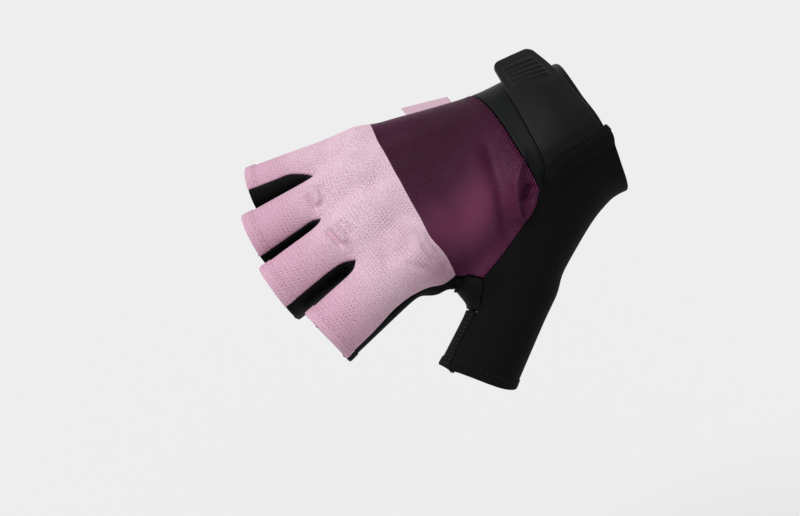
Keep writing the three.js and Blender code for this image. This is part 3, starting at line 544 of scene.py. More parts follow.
def seamStitches(name, lines, length=2.1, gap=0.9, radius=0.17, sink=0.02):
    # Each stitch is a tube along its line: radius * sqrt(1 - x^4) round, its middle raised by radius * (0.9 - x^2).
    rings, sides = 7, 6
    around = np.linspace(0, 2 * np.pi, sides + 1)[:-1]
    along = np.linspace(-1, 1, rings)
    points, faces, first = [], [], 0
    for line, normals in lines:
        steps = np.concatenate([[0], np.cumsum(np.linalg.norm(np.diff(line, axis=0), axis=1))])
        middle = np.arange(gap + length / 2, steps[-1] - length / 2, length + gap)
        if not len(middle):
            continue
        at = middle[:, None] + along * length / 2
        centre, normal = [np.stack([np.interp(at, steps, row[:, k]) for k in range(3)], -1) for row in (line, normals)]
        normal = unit(normal)
        side = unit(np.cross(np.gradient(centre, axis=1), normal))
        thick = radius * np.sqrt(np.maximum(1 - along**4, 0.02))[:, None, None]
        centre = centre + normal * (radius * (0.9 - along**2) - sink)[:, None]
        out = np.cos(around)[:, None] * side[..., None, :] + np.sin(around)[:, None] * normal[..., None, :]
        points.append((centre[..., None, :] + thick * out).reshape(-1, 3))
        ids = np.arange(len(points[-1])).reshape(len(middle), rings, sides) + first
        ring = np.roll(ids, -1, axis=2)
        walls = np.stack([ids[:, :-1], ids[:, 1:], ring[:, 1:], ring[:, :-1]], -1).reshape(-1, 4)
        faces += walls.tolist() + ids[:, 0].tolist() + ids[:, -1, ::-1].tolist()
        first += len(points[-1])
    return makeMesh(name, np.concatenate(points), faces)


def hemLine(grid):
    # the row where the hem is stitched down
    row = len(grid["points"]) - edgeForms["hem"].index(hemGroove) - 1
    return grid["points"][row, 5:-5], grid["normals"][row, 5:-5]


# Materials.
def material(name, roughness):
    made = bpy.data.materials.new(name)
    made.use_nodes = True
    shader = made.node_tree.nodes["Principled BSDF"]
    shader.inputs["Roughness"].default_value = roughness
    return made, made.node_tree, shader


def colour(hexCode):
    # sRGB to linear
    values = [int(hexCode[i : i + 2], 16) / 255 for i in (0, 2, 4)]
    return [v / 12.92 if v <= 0.04045 else ((v + 0.055) / 1.055) ** 2.4 for v in values] + [1]


def place(tree, kind, **settings):
    node = tree.nodes.new(kind)
    for key, value in settings.items():
        if key in node.bl_rna.properties:
            setattr(node, key, value)
        else:
            node.inputs[key.replace("_", " ")].default_value = value
    return node


def maths(tree, operation, *values):
    node = place(tree, "ShaderNodeMath", operation=operation)
    for socket, value in zip(node.inputs, values):
        if isinstance(value, (int, float)):
            socket.default_value = value
        else:
            tree.links.new(value, socket)
    return node.outputs[0]


def times(tree, first, second):
    return maths(tree, "MULTIPLY", first, second)


def weaveOver(tree):
    # the piece's own weave map, in millimetres along and across the cloth
    mapNode = place(tree, "ShaderNodeUVMap", uv_map="weave")
    split = place(tree, "ShaderNodeSeparateXYZ")
    tree.links.new(mapNode.outputs[0], split.inputs[0])
    return mapNode.outputs[0], split.outputs[0], split.outputs[1]


def noise(tree, vector, scale, detail=2.0, rough=0.5):
    node = place(tree, "ShaderNodeTexNoise", Scale=scale, Detail=detail, Roughness=rough)
    tree.links.new(vector, node.inputs["Vector"])
    return node.outputs[0]


def ramp(tree, value, low, high, start=0.0, end=1.0):
    node = place(tree, "ShaderNodeMapRange", clamp=True)
    tree.links.new(value, node.inputs[0])
    for i, v in enumerate((low, high, start, end)):
        node.inputs[i + 1].default_value = v
    return node.outputs[0]


def blendColours(tree, share, first, second):
    node = place(tree, "ShaderNodeMix", data_type="RGBA")
    tree.links.new(share, node.inputs[0])
    for socket, value in ((node.inputs[6], first), (node.inputs[7], second)):
        if isinstance(value, list):
            socket.default_value = value
        else:
            tree.links.new(value, socket)
    return node.outputs[2]


def toned(tree, value, low, high, finish):
    # from the deep colour to the light one as the value goes from low to high
    return blendColours(tree, ramp(tree, value, low, high), colour(finish["deep"]), colour(finish["light"]))


def roughen(tree, shader, grain, finish, less, more):
    # the roughness wanders with the grain
    rough = finish["roughness"]
    tree.links.new(ramp(tree, grain, 0.3, 0.7, rough - less, rough + more), shader.inputs["Roughness"])


def setShine(shader, gloss, sheen, sheenRoughness, sheenTint):
    shader.inputs["Specular IOR Level"].default_value = gloss
    shader.inputs["Sheen Weight"].default_value = sheen
    shader.inputs["Sheen Roughness"].default_value = sheenRoughness
    shader.inputs["Sheen Tint"].default_value = colour(sheenTint)


def bump(tree, shader, height, depth, strength=1.0, under=None):
    node = place(tree, "ShaderNodeBump", Distance=depth * millimetre, Strength=strength)
    tree.links.new(height, node.inputs["Height"])
    if under is not None:
        tree.links.new(under, node.inputs["Normal"])
    tree.links.new(node.outputs[0], shader.inputs["Normal"])
    return node.outputs[0]


def dimpledKnit(name, finish):
    # Holes sit where cos(2 pi u / pitch) * cos(2 pi v / rows) peaks, so that every other row is moved by half a pitch.
    made, tree, shader = material(name, finish["roughness"])
    cloth, u, v = weaveOver(tree)
    waveU = maths(tree, "COSINE", times(tree, u, 2 * math.pi / finish["pitch"]))
    waveV = maths(tree, "COSINE", times(tree, v, 2 * math.pi / finish["rows"]))
    cell = times(tree, waveU, waveV)
    wander = noise(tree, cloth, 0.12, 2.0)
    hole = times(tree, ramp(tree, cell, 0.5, 1.0), ramp(tree, wander, 0.38, 0.6, finish["faintest"], 1.0))
    grain = noise(tree, cloth, 1.3, 3.0, 0.6)
    tone = toned(tree, grain, 0.36, 0.64, finish)
    broad = noise(tree, cloth, 0.03, 2.0)
    tone = blendColours(tree, ramp(tree, broad, 0.35, 0.7, 0.0, 0.35), tone, colour(finish["deep"]))
    # Spots of painted light: darker patches stand in for shade and lighter ones for sheen.
    for spot in finish["paintedLightSpots"]:
        # painted shade and painted sheen, each share * exp(-(distance in u / reach)^2 - (distance in v / reach)^2)
        squares = []
        for axis, at, reach in zip((u, v), spot["at"], spot["reach"]):
            off = maths(tree, "DIVIDE", maths(tree, "SUBTRACT", axis, at), reach)
            squares.append(times(tree, off, off))
        fall = times(tree, maths(tree, "ADD", *squares), -1.0)
        share = times(tree, maths(tree, "EXPONENT", fall), spot["share"])
        tone = blendColours(tree, share, tone, colour(spot["colour"]))
    depth = times(tree, hole, finish["holeShade"])
    tree.links.new(blendColours(tree, depth, tone, colour(finish["hole"])), shader.inputs["Base Color"])
    threads = bump(tree, shader, grain, finish["grainDepth"], 0.8)
    height = times(tree, hole, -1.0)
    if "gathers" in finish:
        # height * sin(2 pi u / pitch) * exp(-(v / reach)^2), small gathers along the seam at v = 0
        gathered = finish["gathers"]
        away = maths(tree, "DIVIDE", v, gathered["reach"])
        near = maths(tree, "EXPONENT", times(tree, times(tree, away, away), -1.0))
        waves = maths(tree, "SINE", times(tree, u, 2 * math.pi / gathered["pitch"]))
        waves = times(tree, times(tree, waves, near), gathered["height"])
        height = maths(tree, "ADD", height, waves)
    bump(tree, shader, height, finish["holeDepth"], 1.0, threads)
    setShine(shader, finish["gloss"], finish["sheen"], finish["sheenRoughness"], finish["sheenTint"])
    return made


def plainCloth(name, finish):
    # a fine even cloth: grain in colour and height, and a few light fibres where a second noise peaks
    made, tree, shader = material(name, finish["roughness"])
    cloth = weaveOver(tree)[0]
    grain = noise(tree, cloth, finish["grain"], 4.0, 0.65)
    tone = toned(tree, grain, 0.35, 0.7, finish)
    lint = noise(tree, cloth, finish["lint"], 1.0)
    fibres = ramp(tree, lint, 0.68, 0.8, 0.0, finish["lintShare"])
    tree.links.new(blendColours(tree, fibres, tone, colour(finish["fibre"])), shader.inputs["Base Color"])
    bump(tree, shader, grain, finish["depth"], 0.9)
    roughen(tree, shader, grain, finish, 0.08, 0.06)
    setShine(shader, finish["gloss"], finish["sheen"], 0.4, finish["fibre"])
    return made


def mouldedRubber(name, finish):
    # fine moulded grain on Object coordinates
    made, tree, shader = material(name, finish["roughness"])
    here = place(tree, "ShaderNodeTexCoord").outputs["Object"]
    grain = noise(tree, here, finish["grain"], 5.0, 0.6)
    cloud = noise(tree, here, 60, 2.0)
    tree.links.new(toned(tree, cloud, 0.3, 0.7, finish), shader.inputs["Base Color"])
    roughen(tree, shader, grain, finish, 0.06, 0.08)
    shader.inputs["Specular IOR Level"].default_value = 0.17
    bump(tree, shader, grain, finish["depth"], 0.7)
    return made


pinkKnit = dimpledKnit(
    "pinkKnit",
    {
        "pitch": 1.36,
        "rows": 2.6,
        "deep": "D6ABBF",
        "light": "F2DCE7",
        "hole": "9A6580",
        "holeShade": 0.65,
        "faintest": 0.15,
        "holeDepth": 0.16,
        "grainDepth": 0.1,
        # painted shade: the finger stalls darker and deeper pink, and a darker patch in the corner by the thumb
        "paintedLightSpots": [
            {"at": (0, 54), "reach": (400, 17), "colour": "CC90AD", "share": 0.55},
            {"at": (-52, 6), "reach": (10, 14), "colour": "C78BA8", "share": 0.6},
        ],
        "roughness": 0.85,
        "gloss": 0.2,
        "sheen": 0.1,
        "sheenRoughness": 0.5,
        "sheenTint": "F5DDE8",
    },
)
plumKnit = dimpledKnit(
    "plumKnit",
    {
        "pitch": 0.9,
        "rows": 1.7,
        "deep": "3A0E28",
        "light": "5E2348",
        "gathers": {"pitch": 1.5, "reach": 7, "height": 1.6},
        "hole": "260A1A",
        "holeShade": 0.6,
        "faintest": 0.2,
        "holeDepth": 0.12,
        "grainDepth": 0.14,
        "roughness": 0.5,
        "gloss": 0.14,
        "sheen": 0.16,
        "sheenRoughness": 0.3,
        "sheenTint": "C05C8C",
        # a painted sheen as a lighter patch towards the thumb side, and painted shade as a broad darker patch further
        # across
        "paintedLightSpots": [
            {"at": (22, 30), "reach": (13, 14), "colour": "8A4468", "share": 0.75},
            {"at": (60, 22), "reach": (30, 60), "colour": "2A0419", "share": 0.7},
        ],
    },
)
finishNames = ["deep", "light", "fibre", "grain", "lint", "roughness", "depth", "sheen", "gloss", "lintShare"]
clothFinishes = {
    "cuffNeoprene": ("080A0A", "0F1213", "1E2426", 1.6, 1.1, 0.5, 0.05, 0.01, 0.14, 0.2),
    "brushedBlack": ("0B0A0B", "151415", "3A393B", 1.3, 2.2, 0.9, 0.12, 0.05, 0.1, 0.5),
    "smoothBlack": ("080807", "0E0E0D", "222421", 2.0, 1.4, 0.7, 0.06, 0.02, 0.12, 0.2),
    "palmSuede": ("0D0D0D", "171616", "2A292A", 1.0, 0.9, 0.9, 0.1, 0.05, 0.1, 0.3),
    "pinkTape": ("D2ADBE", "E2C5D1", "F0DDE6", 3.0, 2.4, 0.7, 0.05, 0.1, 0.25, 0.4),
    "blackThread": ("0F0E0F", "181718", "2C2C2E", 4.0, 3.0, 0.7, 0.04, 0.1, 0.3, 0.3),
    "brownThread": ("2C2820", "464034", "665E4E", 4.0, 3.0, 0.75, 0.04, 0.1, 0.3, 0.3),
    "pinkThread": ("BE8FA6", "D6A9BE", "ECCFDC", 4.0, 3.0, 0.75, 0.04, 0.1, 0.3, 0.3),
}
looks = {name: plainCloth(name, dict(zip(finishNames, finish))) for name, finish in clothFinishes.items()}
looks["pinkKnit"], looks["plumKnit"] = pinkKnit, plumKnit
looks["strapRubber"] = mouldedRubber(
    "strapRubber", {"deep": "0D0D0C", "light": "141313", "grain": 900, "depth": 0.06, "roughness": 0.5}
)
print("materials made")


def dress(piece, look, node=None):
    piece.data.materials.append(looks[look])
    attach(piece, "root")
    if node:
        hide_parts(node)
    return piece


def sewAndDress(name, grids, weaves, look, node):
    piece = dress(sewPanel(name, grids, weaves), look, node)
    print(name, "sewn,", len(piece.data.polygons), "faces")


def weaveMap(grid, rows, shift=0.0):
    # u along the row from a chosen start, v the row's own place
    return np.stack(np.broadcast_arrays(grid["arcs"] + shift, rows[:, None]), -1)


def sewSheet(name, grid, rows, look, node):
    sewAndDress(name, [grid], [weaveMap(grid, rows)], look, node)


# Knuckle panel: four strips that share their lines up to the webs and then run out as finger tops.
knuckles = {"bodyLength": 33, "stallLength": 27, "bodyRows": 40, "stallRows": 34, "columns": 32}


def rowAcross(radial, lines, ulnar, past):
    return lambda share: [radial(share), *[stopAt(line(share)) for line in (*lines, ulnar, past)]]


def deepening(share):
    # ray depths from the shallow one to the full one
    return shallowDepth + (rayDepth - shallowDepth) * ease(share)


def indexEdge(share):
    return stopAt(indexOuter(share * webShare["index"]), deepening(share * 2.5))


def leanedStop(point, lean, depth, fromThumb=(-0.5, 0.3, -0.8), flattest=0.4):
    # leans away from the thumb, but never flatter than the flattest share outwards
    normal = normalAt(point)
    leaned = normal * (1 - lean[:, None]) + np.array(fromThumb) * lean[:, None]
    way = unit(leaned + normal * np.maximum(flattest - dot(leaned, normal), 0)[:, None])
    return point - way * depth[:, None], way, point


def indexUnderEdge(share):
    lean = 0.8 * (1 - ease(share * 1.5))
    return leanedStop(indexOuter(share * webShare["index"]), lean, deepening(share * 1.5))


def littleEdge(share):
    return littleOuter(share * webShare["little"])


def outerStops(line, start):
    return lambda share: stopAt(line(start + share * (1 - start)))


def fingerStrips(under, edgesAtStart, lookBack=0.0):
    # rows in millimetres: the shared part first, then the stall with its hem
    lines, past = (belowLines, aboveLines[2]) if under else (aboveLines, belowLines[2])
    handRows = rowAcross(indexUnderEdge if under else indexEdge, lines, littleEdge, past)
    face = "under" if under else "top"
    body, stall = knuckles["bodyLength"], knuckles["stallLength"]
    bodyRows, bodyHeights = rowsBetween(lookBack, body, knuckles["bodyRows"], edgesAtStart)
    stallRows, stallHeights = rowsBetween(body + 0.9, body + stall - 0.1, knuckles["stallRows"], None, "hem")
    handStops = handRows(bodyRows / body)
    strips = []
    for i, name in enumerate(fingerNames):
        angles = [(angle, angle) for angle in stalls[name]["under"]]
        if not under:
            angles = [stalls[name]["radial"], stalls[name]["ulnar"]]
        left = stallStops(name, i - 1, face, angles[0]) if i else outerStops(indexOuter, webShare["index"])
        right = stallStops(name, i, face, angles[1]) if i < 3 else outerStops(littleOuter, webShare["little"])
        share = (stallRows - body) / stall
        sides = {"opened": (i == 0, i == 3), "deepest": thumbRootLow if under and i == 0 else hiddenLow}
        joined = layCloth(handStops, bodyHeights, knuckles["columns"], (i, i + 1), **sides)
        free = layCloth([left(share), right(share)], stallHeights, knuckles["columns"])
        strips.append((joined, free))
    return strips, bodyRows, stallRows


strips, bodyRows, stallRows = fingerStrips(False, "butt", 0.05)
grids, weaves = [], []
widths = np.cumsum([0 * strips[0][0]["total"], *[strip[0]["total"] for strip in strips]], axis=0)
for i, (joined, free) in enumerate(strips):
    middle = (widths[i][-1] + widths[i + 1][-1]) / 2 - widths[2][-1]
    u = np.concatenate([joined["arcs"] + widths[i] - widths[2], free["arcs"] - free["total"] / 2 + middle])
    rows = np.concatenate([bodyRows, stallRows])
    grids.append(bend(pull(relax(joinRows([joined, free]), rows, knuckles["bodyLength"], (i > 0, i < 3)))))
    weaves.append(np.stack(np.broadcast_arrays(u, rows[:, None]), -1))
sewAndDress("knucklePanel", grids, weaves, "pinkKnit", "finger_back_panel")
dress(seamStitches("knuckleHemStitches", [hemLine(grid) for grid in grids]), "pinkThread")

# Gusset between thumb and index finger.
gussetMiddles = [
    ((-76, -42, -9), (-0.45, -0.1, 0.88)),
    ((-75.5, -44.5, -13), (-0.95, 0.1, 0.2)),
    ((-73, -55, -21.5), (-0.667, 0.746, 0)),
]


def gussetRows(share):
    seeds, ways = [through([middle[k] for middle in gussetMiddles], share * 2) for k in (0, 1)]
    first, last = [stopAt(line(share), shallowDepth) for line in (gussetSeam, gussetPalmSeam)]
    return [first, (seeds, unit(ways), seeds), last]


gusset = {"length": 38, "rows": 44, "columns": 34}
rows, heights = rowsBetween(0.045 * gusset["length"], 0.995 * gusset["length"], gusset["rows"], "seam", "butt")
grid = layCloth(gussetRows(rows / gusset["length"]), heights, gusset["columns"], insets=(0.1, 0.2))
sewSheet("webGusset", bend(grid), rows, "smoothBlack", "thumb_web_gusset")

# Plum panel between the colour change and the cuff, gathered a little where it meets the cuff.
plum = {"length": 45, "rows": 62, "columns": 96, "pucker": 0.16, "puckerPitch": 2.3, "puckerReach": 3.5}
gussetStart = gussetRows(np.zeros(1))
seeds, ways = [through(np.stack([stop[k] for stop in gussetStart], 1), np.linspace(0, 2, 7)[None]) for k in (0, 1)]
gussetTop = castOut(seeds, unit(ways), clothLevel)[0]
plumRadial = chain([plumSeam, seam(gussetTop)], [0.78, 1])
rows, heights = rowsBetween(0.1, plum["length"] - 0.05, plum["rows"], "seam", "butt")
share = rows / plum["length"]


def gathers(arcs, total):
    # waves along the cuff seam that die out away from it
    fade = np.exp(-((rows[:, None] / plum["puckerReach"]) ** 2))
    fade = fade * ease((arcs - 2) / 6) * ease((total - arcs - 2) / 6)
    return plum["pucker"] * fade * np.sin(2 * np.pi * arcs / plum["puckerPitch"])


plumStops = [stopAt(line(share)) for line in (plumRadial, *backLines, ulnarSeam, palmLines[2])]
grid = layCloth(plumStops, heights, plum["columns"], (0, 4), lift=gathers)
sewSheet("backPanel", bend(pull(grid)), rows, "plumKnit", "hand_back_panel")

# Thumb panel, lapped over the end of the strap.
thumb = {
    "span": (0.8, 123.8),
    "rows": 120,
    "columns": 90,
    "lapLift": 3.15,
    "lapWidth": 3.8,
    "rampWidth": 5.5,
    "lapEnds": 0.25,
    "rimSink": 0.45,
    "rimStart": 4.5,
    "rimReach": 4,
    "leans": (0.75, -0.75),
    "stitchColumn": 8,
}
thumbPlaces = ([0, 44, 86, 100, 124], [0, 0.25, 0.55, 0.7, 1])
thumbDorsal = chain([cuffSeam, plumSeam, gussetSeam, stitchedSeam], [0.25, 0.55, 0.7, 1])
thumbPalmar = chain([palmCuffSeam, thenarSeam, stallUnderSeam], [0.25, 0.7, 1])
thumbSections = [
    (0, (0, -11, 0), (0, -1, 0), (-0.2, 0, 1)),
    (0.25, (-36, -24, -6), (0.35, -0.93, -0.1), (-0.1, 0, 1)),
    (0.55, (-60, -44, -17), (0.6, -0.8, 0), (-0.3, -0.25, 0.9)),
    (0.7, (-73, -56, -22), (0.65, -0.76, 0), (-0.4, -0.35, 0.83)),
    (1, (-90.8, -73, -28), (0.667, -0.746, 0), (-0.454, -0.404, 0.79)),
]
rows, heights = rowsBetween(*thumb["span"], thumb["rows"], "fold", "hem")
share = np.interp(rows, *thumbPlaces)
t = np.interp(share, [section[0] for section in thumbSections], np.arange(5))
seeds, outers, ups = [through([section[k] for section in thumbSections], t) for k in (1, 2, 3)]
dorsal = thumbDorsal(share)
lapped = np.where(share < thumb["lapEnds"], ease((dorsal[:, 0] - corners["flap"][0] - 0.5) / 3), 0)
rimSink = thumb["rimSink"] * ease((dorsal[:, 0] + thumb["rimStart"]) / thumb["rimReach"])
rise = thumb["lapLift"] * lapped * (1 - rimSink)
middles = [(seeds, unit(unit(outers) + lean * unit(ups)), seeds) for lean in thumb["leans"]]
dorsalEdge = np.array(edgeForms["seam"]) + lapped[:, None, None] * (np.array(edgeForms["lap"]) - edgeForms["seam"])


def lapLift(arcs, total):
    # the full rise over the strap's end, then a ramp down to the hand
    return rise[:, None] * (1 - ease((arcs - thumb["lapWidth"]) / thumb["rampWidth"]))


thumbStops = [stopAt(dorsal), *middles, stopAt(thumbPalmar(share))]
thumbGrid = bend(layCloth(thumbStops, heights, thumb["columns"], edges=(dorsalEdge, "seam"), lift=lapLift))
sewSheet("thumbPanel", thumbGrid, rows, "brushedBlack", "thumb_panel")
lapRows = np.flatnonzero(lapped > 0.5)
lapLine = tuple(thumbGrid[key][lapRows, thumb["stitchColumn"]] for key in ("points", "normals"))

# Inner strip of the thumb stall, with its topstitched seam.
innerStrip = {"length": 27, "rows": 34, "columns": 30, "middleSeed": (-73, -56, -22)}
rows, heights = rowsBetween(0.1, innerStrip["length"] - 0.15, innerStrip["rows"], "butt", "hem")
share = rows / innerStrip["length"]
middle = np.array(innerStrip["middleSeed"]) * (1 - share[:, None]) + np.array(thumbHem["centre"]) * share[:, None]
inward = np.broadcast_to(unit(np.array(thumbHem["inward"])), middle.shape)
innerStops = [stopAt(stitchedSeam(share)), (middle, inward, middle), stopAt(stallUnderSeam(share))]
innerGrid = bend(layCloth(innerStops, heights, innerStrip["columns"]))
sewSheet("thumbInnerPanel", innerGrid, rows, "brushedBlack", "thumb_inner_panel")
seamLines = [(innerGrid["points"][6:-8, k], innerGrid["normals"][6:-8, k]) for k in (7, 9)]
thumbStitches = seamStitches("thumbStitches", [hemLine(thumbGrid), hemLine(innerGrid), lapLine], length=1.5, gap=0.8)
dress(thumbStitches, "blackThread")
dress(seamStitches("innerSeamStitches", seamLines, length=1.3, gap=0.6), "brownThread")

# Palm, with the finger undersides.
palm = {"length": 47, "rows": 56}
palmRadial = chain([thenarSeam, backwards(gussetPalmSeam)], [0.62, 1])


def palmRadialStop(share):
    depth = rayDepth - (rayDepth - shallowDepth) * ease((share - 0.45) / 0.2)
    return leanedStop(palmRadial(share), 0.8 * ease((share - 0.62) / 0.15), depth)


strips, bodyRows, stallRows = fingerStrips(True, None)
handRows, handHeights = rowsBetween(0.2, palm["length"], palm["rows"], "seam")
handStops = rowAcross(palmRadialStop, palmLines, ulnarSeam, backLines[2])(handRows / palm["length"])
grids, weaves = [], []
for i, (joined, free) in enumerate(strips):
    sides = {"insets": (0.25, 0.06), "opened": (i == 0, i == 3), "deepest": hiddenLow if i else thumbRootLow}
    hand = layCloth(handStops, handHeights, knuckles["columns"], (i, i + 1), **sides)
    parts = [hand, {key: value[1:] for key, value in joined.items()}, free]
    rows = np.concatenate([handRows, palm["length"] + bodyRows[1:], palm["length"] + stallRows])
    grid = relax(joinRows(parts), rows, palm["length"] + knuckles["bodyLength"], (i > 0, i < 3), 10, 240)
    grid = bend(relax(grid, rows, palm["length"], (True, True), 7) if i == 0 else grid)
    grids.append(grid)
    weaves.append(weaveMap(grid, rows, 22.0 * i))
sewAndDress("palmPanel", grids, weaves, "palmSuede", "palm_panel")
dress(seamStitches("palmHemStitches", [hemLine(grid) for grid in grids]), "blackThread")

# Strips between the fingers, over the web from one hem to the other.
between = {"length": 56, "rows": 64, "columns": 22, "inset": 0.06, "apexInset": 0.75, "apexReach": 0.06}
for i, name in enumerate(("betweenIndexMiddle", "betweenMiddleRing", "betweenRingLittle")):
    halves = []
    for finger, over, under, side in ((fingerNames[i], "ulnar", 1, 95), (fingerNames[i + 1], "radial", 0, -90)):
        stall = stalls[finger]
        sides = (("top", stall[over]), ("front", (side, side)), ("under", (stall["under"][under],) * 2))
        halves.append([stallStops(finger, i, face, angles) for face, angles in sides])
    rows, heights = rowsBetween(0.15, between["length"] - 0.15, between["rows"], "fold", "fold")
    share = rows / between["length"]
    stops = []
    for k in range(3):
        first, second = halves[0][k](np.maximum(1 - 2 * share, 0)), halves[1][k](np.maximum(2 * share - 1, 0))
        stops.append([np.where((share < 0.5)[:, None], a, b) for a, b in zip(first, second)])
    near = between["inset"] + between["apexInset"] * np.exp(-(((share - 0.5) / between["apexReach"]) ** 2))
    grid = layCloth(stops, heights, between["columns"], insets=np.stack([near, near], -1))
    node = "fourchette_" + ("index_middle", "middle_ring", "ring_little")[i]
    sewSheet(name, bend(grid), rows, "smoothBlack", node)

# Cuff, with a folded rim, tucked under the thumb panel at one end.
cuff = {"length": 39, "rows": 54, "columns": 170, "tuck": 2.6, "tuckWay": (0, -0.88, -0.48), "tilt": 0.2}


def cuffTuckedEdge(share):
    point = cuffSeam(share)
    tuck = cuff["tuck"] * ease((point[:, 0] - corners["flap"][0] - 0.3) / 1.5)
    return toForm(point + np.array(cuff["tuckWay"]) * tuck[:, None])


cuffFront = [web["back"][0] for web in webs] + [corners["cuffUlnar"]] + [web["below"][0] for web in webs[::-1]]
cuffFront = toForm(cuffFront)
cuffRim = toForm(cuffFront * [0, 1, 1] - cuffFront[:, 2:] * [cuff["tilt"], 0, 0])
rows, heights = rowsBetween(0.25, cuff["length"] - 0.25, cuff["rows"], "fold", "seam")
share = rows / cuff["length"]
cuffStops = [stopAt(toForm(rim + (front - rim) * share[:, None])) for rim, front in zip(cuffRim, cuffFront)]
cuffStops = [stopAt(cuffTuckedEdge(share)), *cuffStops, stopAt(palmCuffSeam(share))]
grid = layCloth(cuffStops, heights, cuff["columns"], edges=("raw", "seam"))
sewSheet("cuffBand", bend(grid), rows, "cuffNeoprene", "cuff")

# Strap: lies on the cuff and leaves it in a straight tab with ridges.
strap = {
    "arc": 38,
    "tabLength": 22.8,
    "width": 26.0,
    "slant": 1.7,
    "corner": 3.6,
    "startAngle": (-35.1, 0.26, 4),
    "leaveAngle": 25,
    "coreSpread": (10.7, 0.227, -22),
    "clearance": 0.55,
    "thickness": 1.6,
    "endThickness": 1.0,
    "thinEnd": (4.6, 4),
    "ridges": 5,
    "ridgePitch": 3.3,
    "ridgeWidth": 1.5,
    "ridgeSlope": 0.45,
    "ridgeHeight": 0.6,
    "ridgeFromEnd": 8,
    "ridgeSpan": (0.105, 0.835),
    "ridgeEnds": 0.03,
    "grooveFromEdge": 1.3,
    "grooveDepth": 0.13,
    "grooveWidth": 0.16,
    "grooveLimit": 1.0,
}
strapEdges = [(-35, -7), (-34.8, -7), (-33.4, -8), (-31, -8.6), (-28.6, -10.4)]
strapTotal = strap["arc"] + strap["tabLength"]


def strapSurface(s, across, height):
    # The lower face follows the cuff at each place along the strap, and height is added square to it.
    t = s / strapTotal * (len(strapEdges) - 1)
    edges = through([(a, b, 0) for a, b in strapEdges], t)
    fromEnd = np.clip(strapTotal - s, 0, strap["corner"])
    rounded = strap["corner"] - np.sqrt(np.maximum(strap["corner"] ** 2 - (strap["corner"] - fromEnd) ** 2, 0))
    x = edges[..., 0] + rounded + (edges[..., 1] - edges[..., 0] - 2 * rounded) * across
    angleAt, perX, fromX = strap["startAngle"]
    startAngle = angleAt + perX * (x + fromX)
    angle = np.radians(startAngle + (strap["leaveAngle"] - startAngle) * np.minimum(s / strap["arc"], 1))
    narrowest, perX, fromX = strap["coreSpread"]
    spread = narrowest + np.maximum(fromX - x, 0) * perX

    def base(a):
        way = np.stack([0 * a, np.sin(a), np.cos(a)], -1)
        return castOut(np.stack([x, spread * np.sin(a), 0 * a], -1), way, clothLevel + strap["clearance"])

    start = base(angle)
    ahead = unit(base(angle + 0.02) - start)
    up = unit(np.cross([-1.0, 0, 0], ahead))
    up = up * np.sign(up[..., 2:])
    slant = strap["slant"] * (1 - across) * ease((s - strap["arc"]) / (0.5 * strap["tabLength"]))
    lower = start + ahead * (np.maximum(s - strap["arc"], 0) - slant)[..., None]
    return lower + up * height[..., None], up


def ridgeHeights(s, across):
    # flat-topped bars with eased slopes along and across the tab
    height = 0 * s
    for i in range(strap["ridges"]):
        middle = strapTotal - strap["ridgeFromEnd"] - i * strap["ridgePitch"]
        slope = (strap["ridgeWidth"] / 2 + strap["ridgeSlope"] - np.abs(s - middle)) / strap["ridgeSlope"]
        height = np.maximum(height, ease(slope))
    low, high = strap["ridgeSpan"]
    ends = ease((across - low) / strap["ridgeEnds"]) * ease((high - across) / strap["ridgeEnds"])
    return strap["ridgeHeight"] * height * ends


# The rounded edge: distance from the side and share of the full height. Each ring runs over the top and back below.
edgeDrop = np.array([(0, 0), (0, 0.4), (0.04, 0.66), (0.16, 0.86), (0.34, 0.96), (0.6, 1)])
width, rim, alongCount, belowCount = strap["width"], edgeDrop[-1, 0], 150, 13
top = np.linspace(rim / width, 1 - rim / width, 62)[1:-1]
groove = strap["grooveFromEdge"] / width + np.array([-0.4, -0.2, 0, 0.2, 0.4]) / width
top = np.unique(np.concatenate([top, groove, 1 - groove]))
below = np.linspace(1, 0, belowCount + 1)[1:]
across = np.concatenate([edgeDrop[:, 0] / width, top, 1 - edgeDrop[::-1, 0] / width, below])
share = np.concatenate([edgeDrop[:, 1], top * 0 + 1, edgeDrop[::-1, 1], np.zeros(belowCount)])
lengthwise = np.linspace(0.8, strapTotal - 0.7, alongCount)
lengthwise = np.concatenate([[0, 0, 0.12, 0.4], lengthwise, strapTotal - edgeDrop[::-1, 0]])
endDrop = np.concatenate([[0, 0.6, 0.9, 1], np.ones(alongCount), edgeDrop[::-1, 1]])
s, a = np.meshgrid(lengthwise, across, indexing="ij")
thinLength, thickening = strap["thinEnd"]
thick = strap["endThickness"] + (strap["thickness"] - strap["endThickness"]) * ease((s - thinLength) / thickening)
# The edge line is a groove: exp(-(distance / groove width)^2) beside both edges and before the end.
gaps = [side * width - strap["grooveFromEdge"] for side in (a, 1 - a)]
gaps = [np.minimum(*np.abs(gaps)), strapTotal - s - strap["grooveFromEdge"]]
line = sum(np.exp(-((gap / strap["grooveWidth"]) ** 2)) for gap in gaps)
inside = np.minimum(np.minimum(a, 1 - a) * width, strapTotal - s) > strap["grooveLimit"]
raised = np.where(share > 0.999, ridgeHeights(s, a) - strap["grooveDepth"] * np.minimum(line, 1) * inside, 0)
points, _ = strapSurface(s, a, (thick * share + raised) * endDrop[:, None])
flat = points.reshape(-1, 3)
kept, faces = mergeCorners(flat, gridFaces(*points.shape[:2]), cellsPerMillimetre=500)
strapPiece = makeMesh("strapBody", flat[kept], faces)
dress(strapPiece, "strapRubber", "strap")
print("strap moulded,", len(strapPiece.data.polygons), "faces")

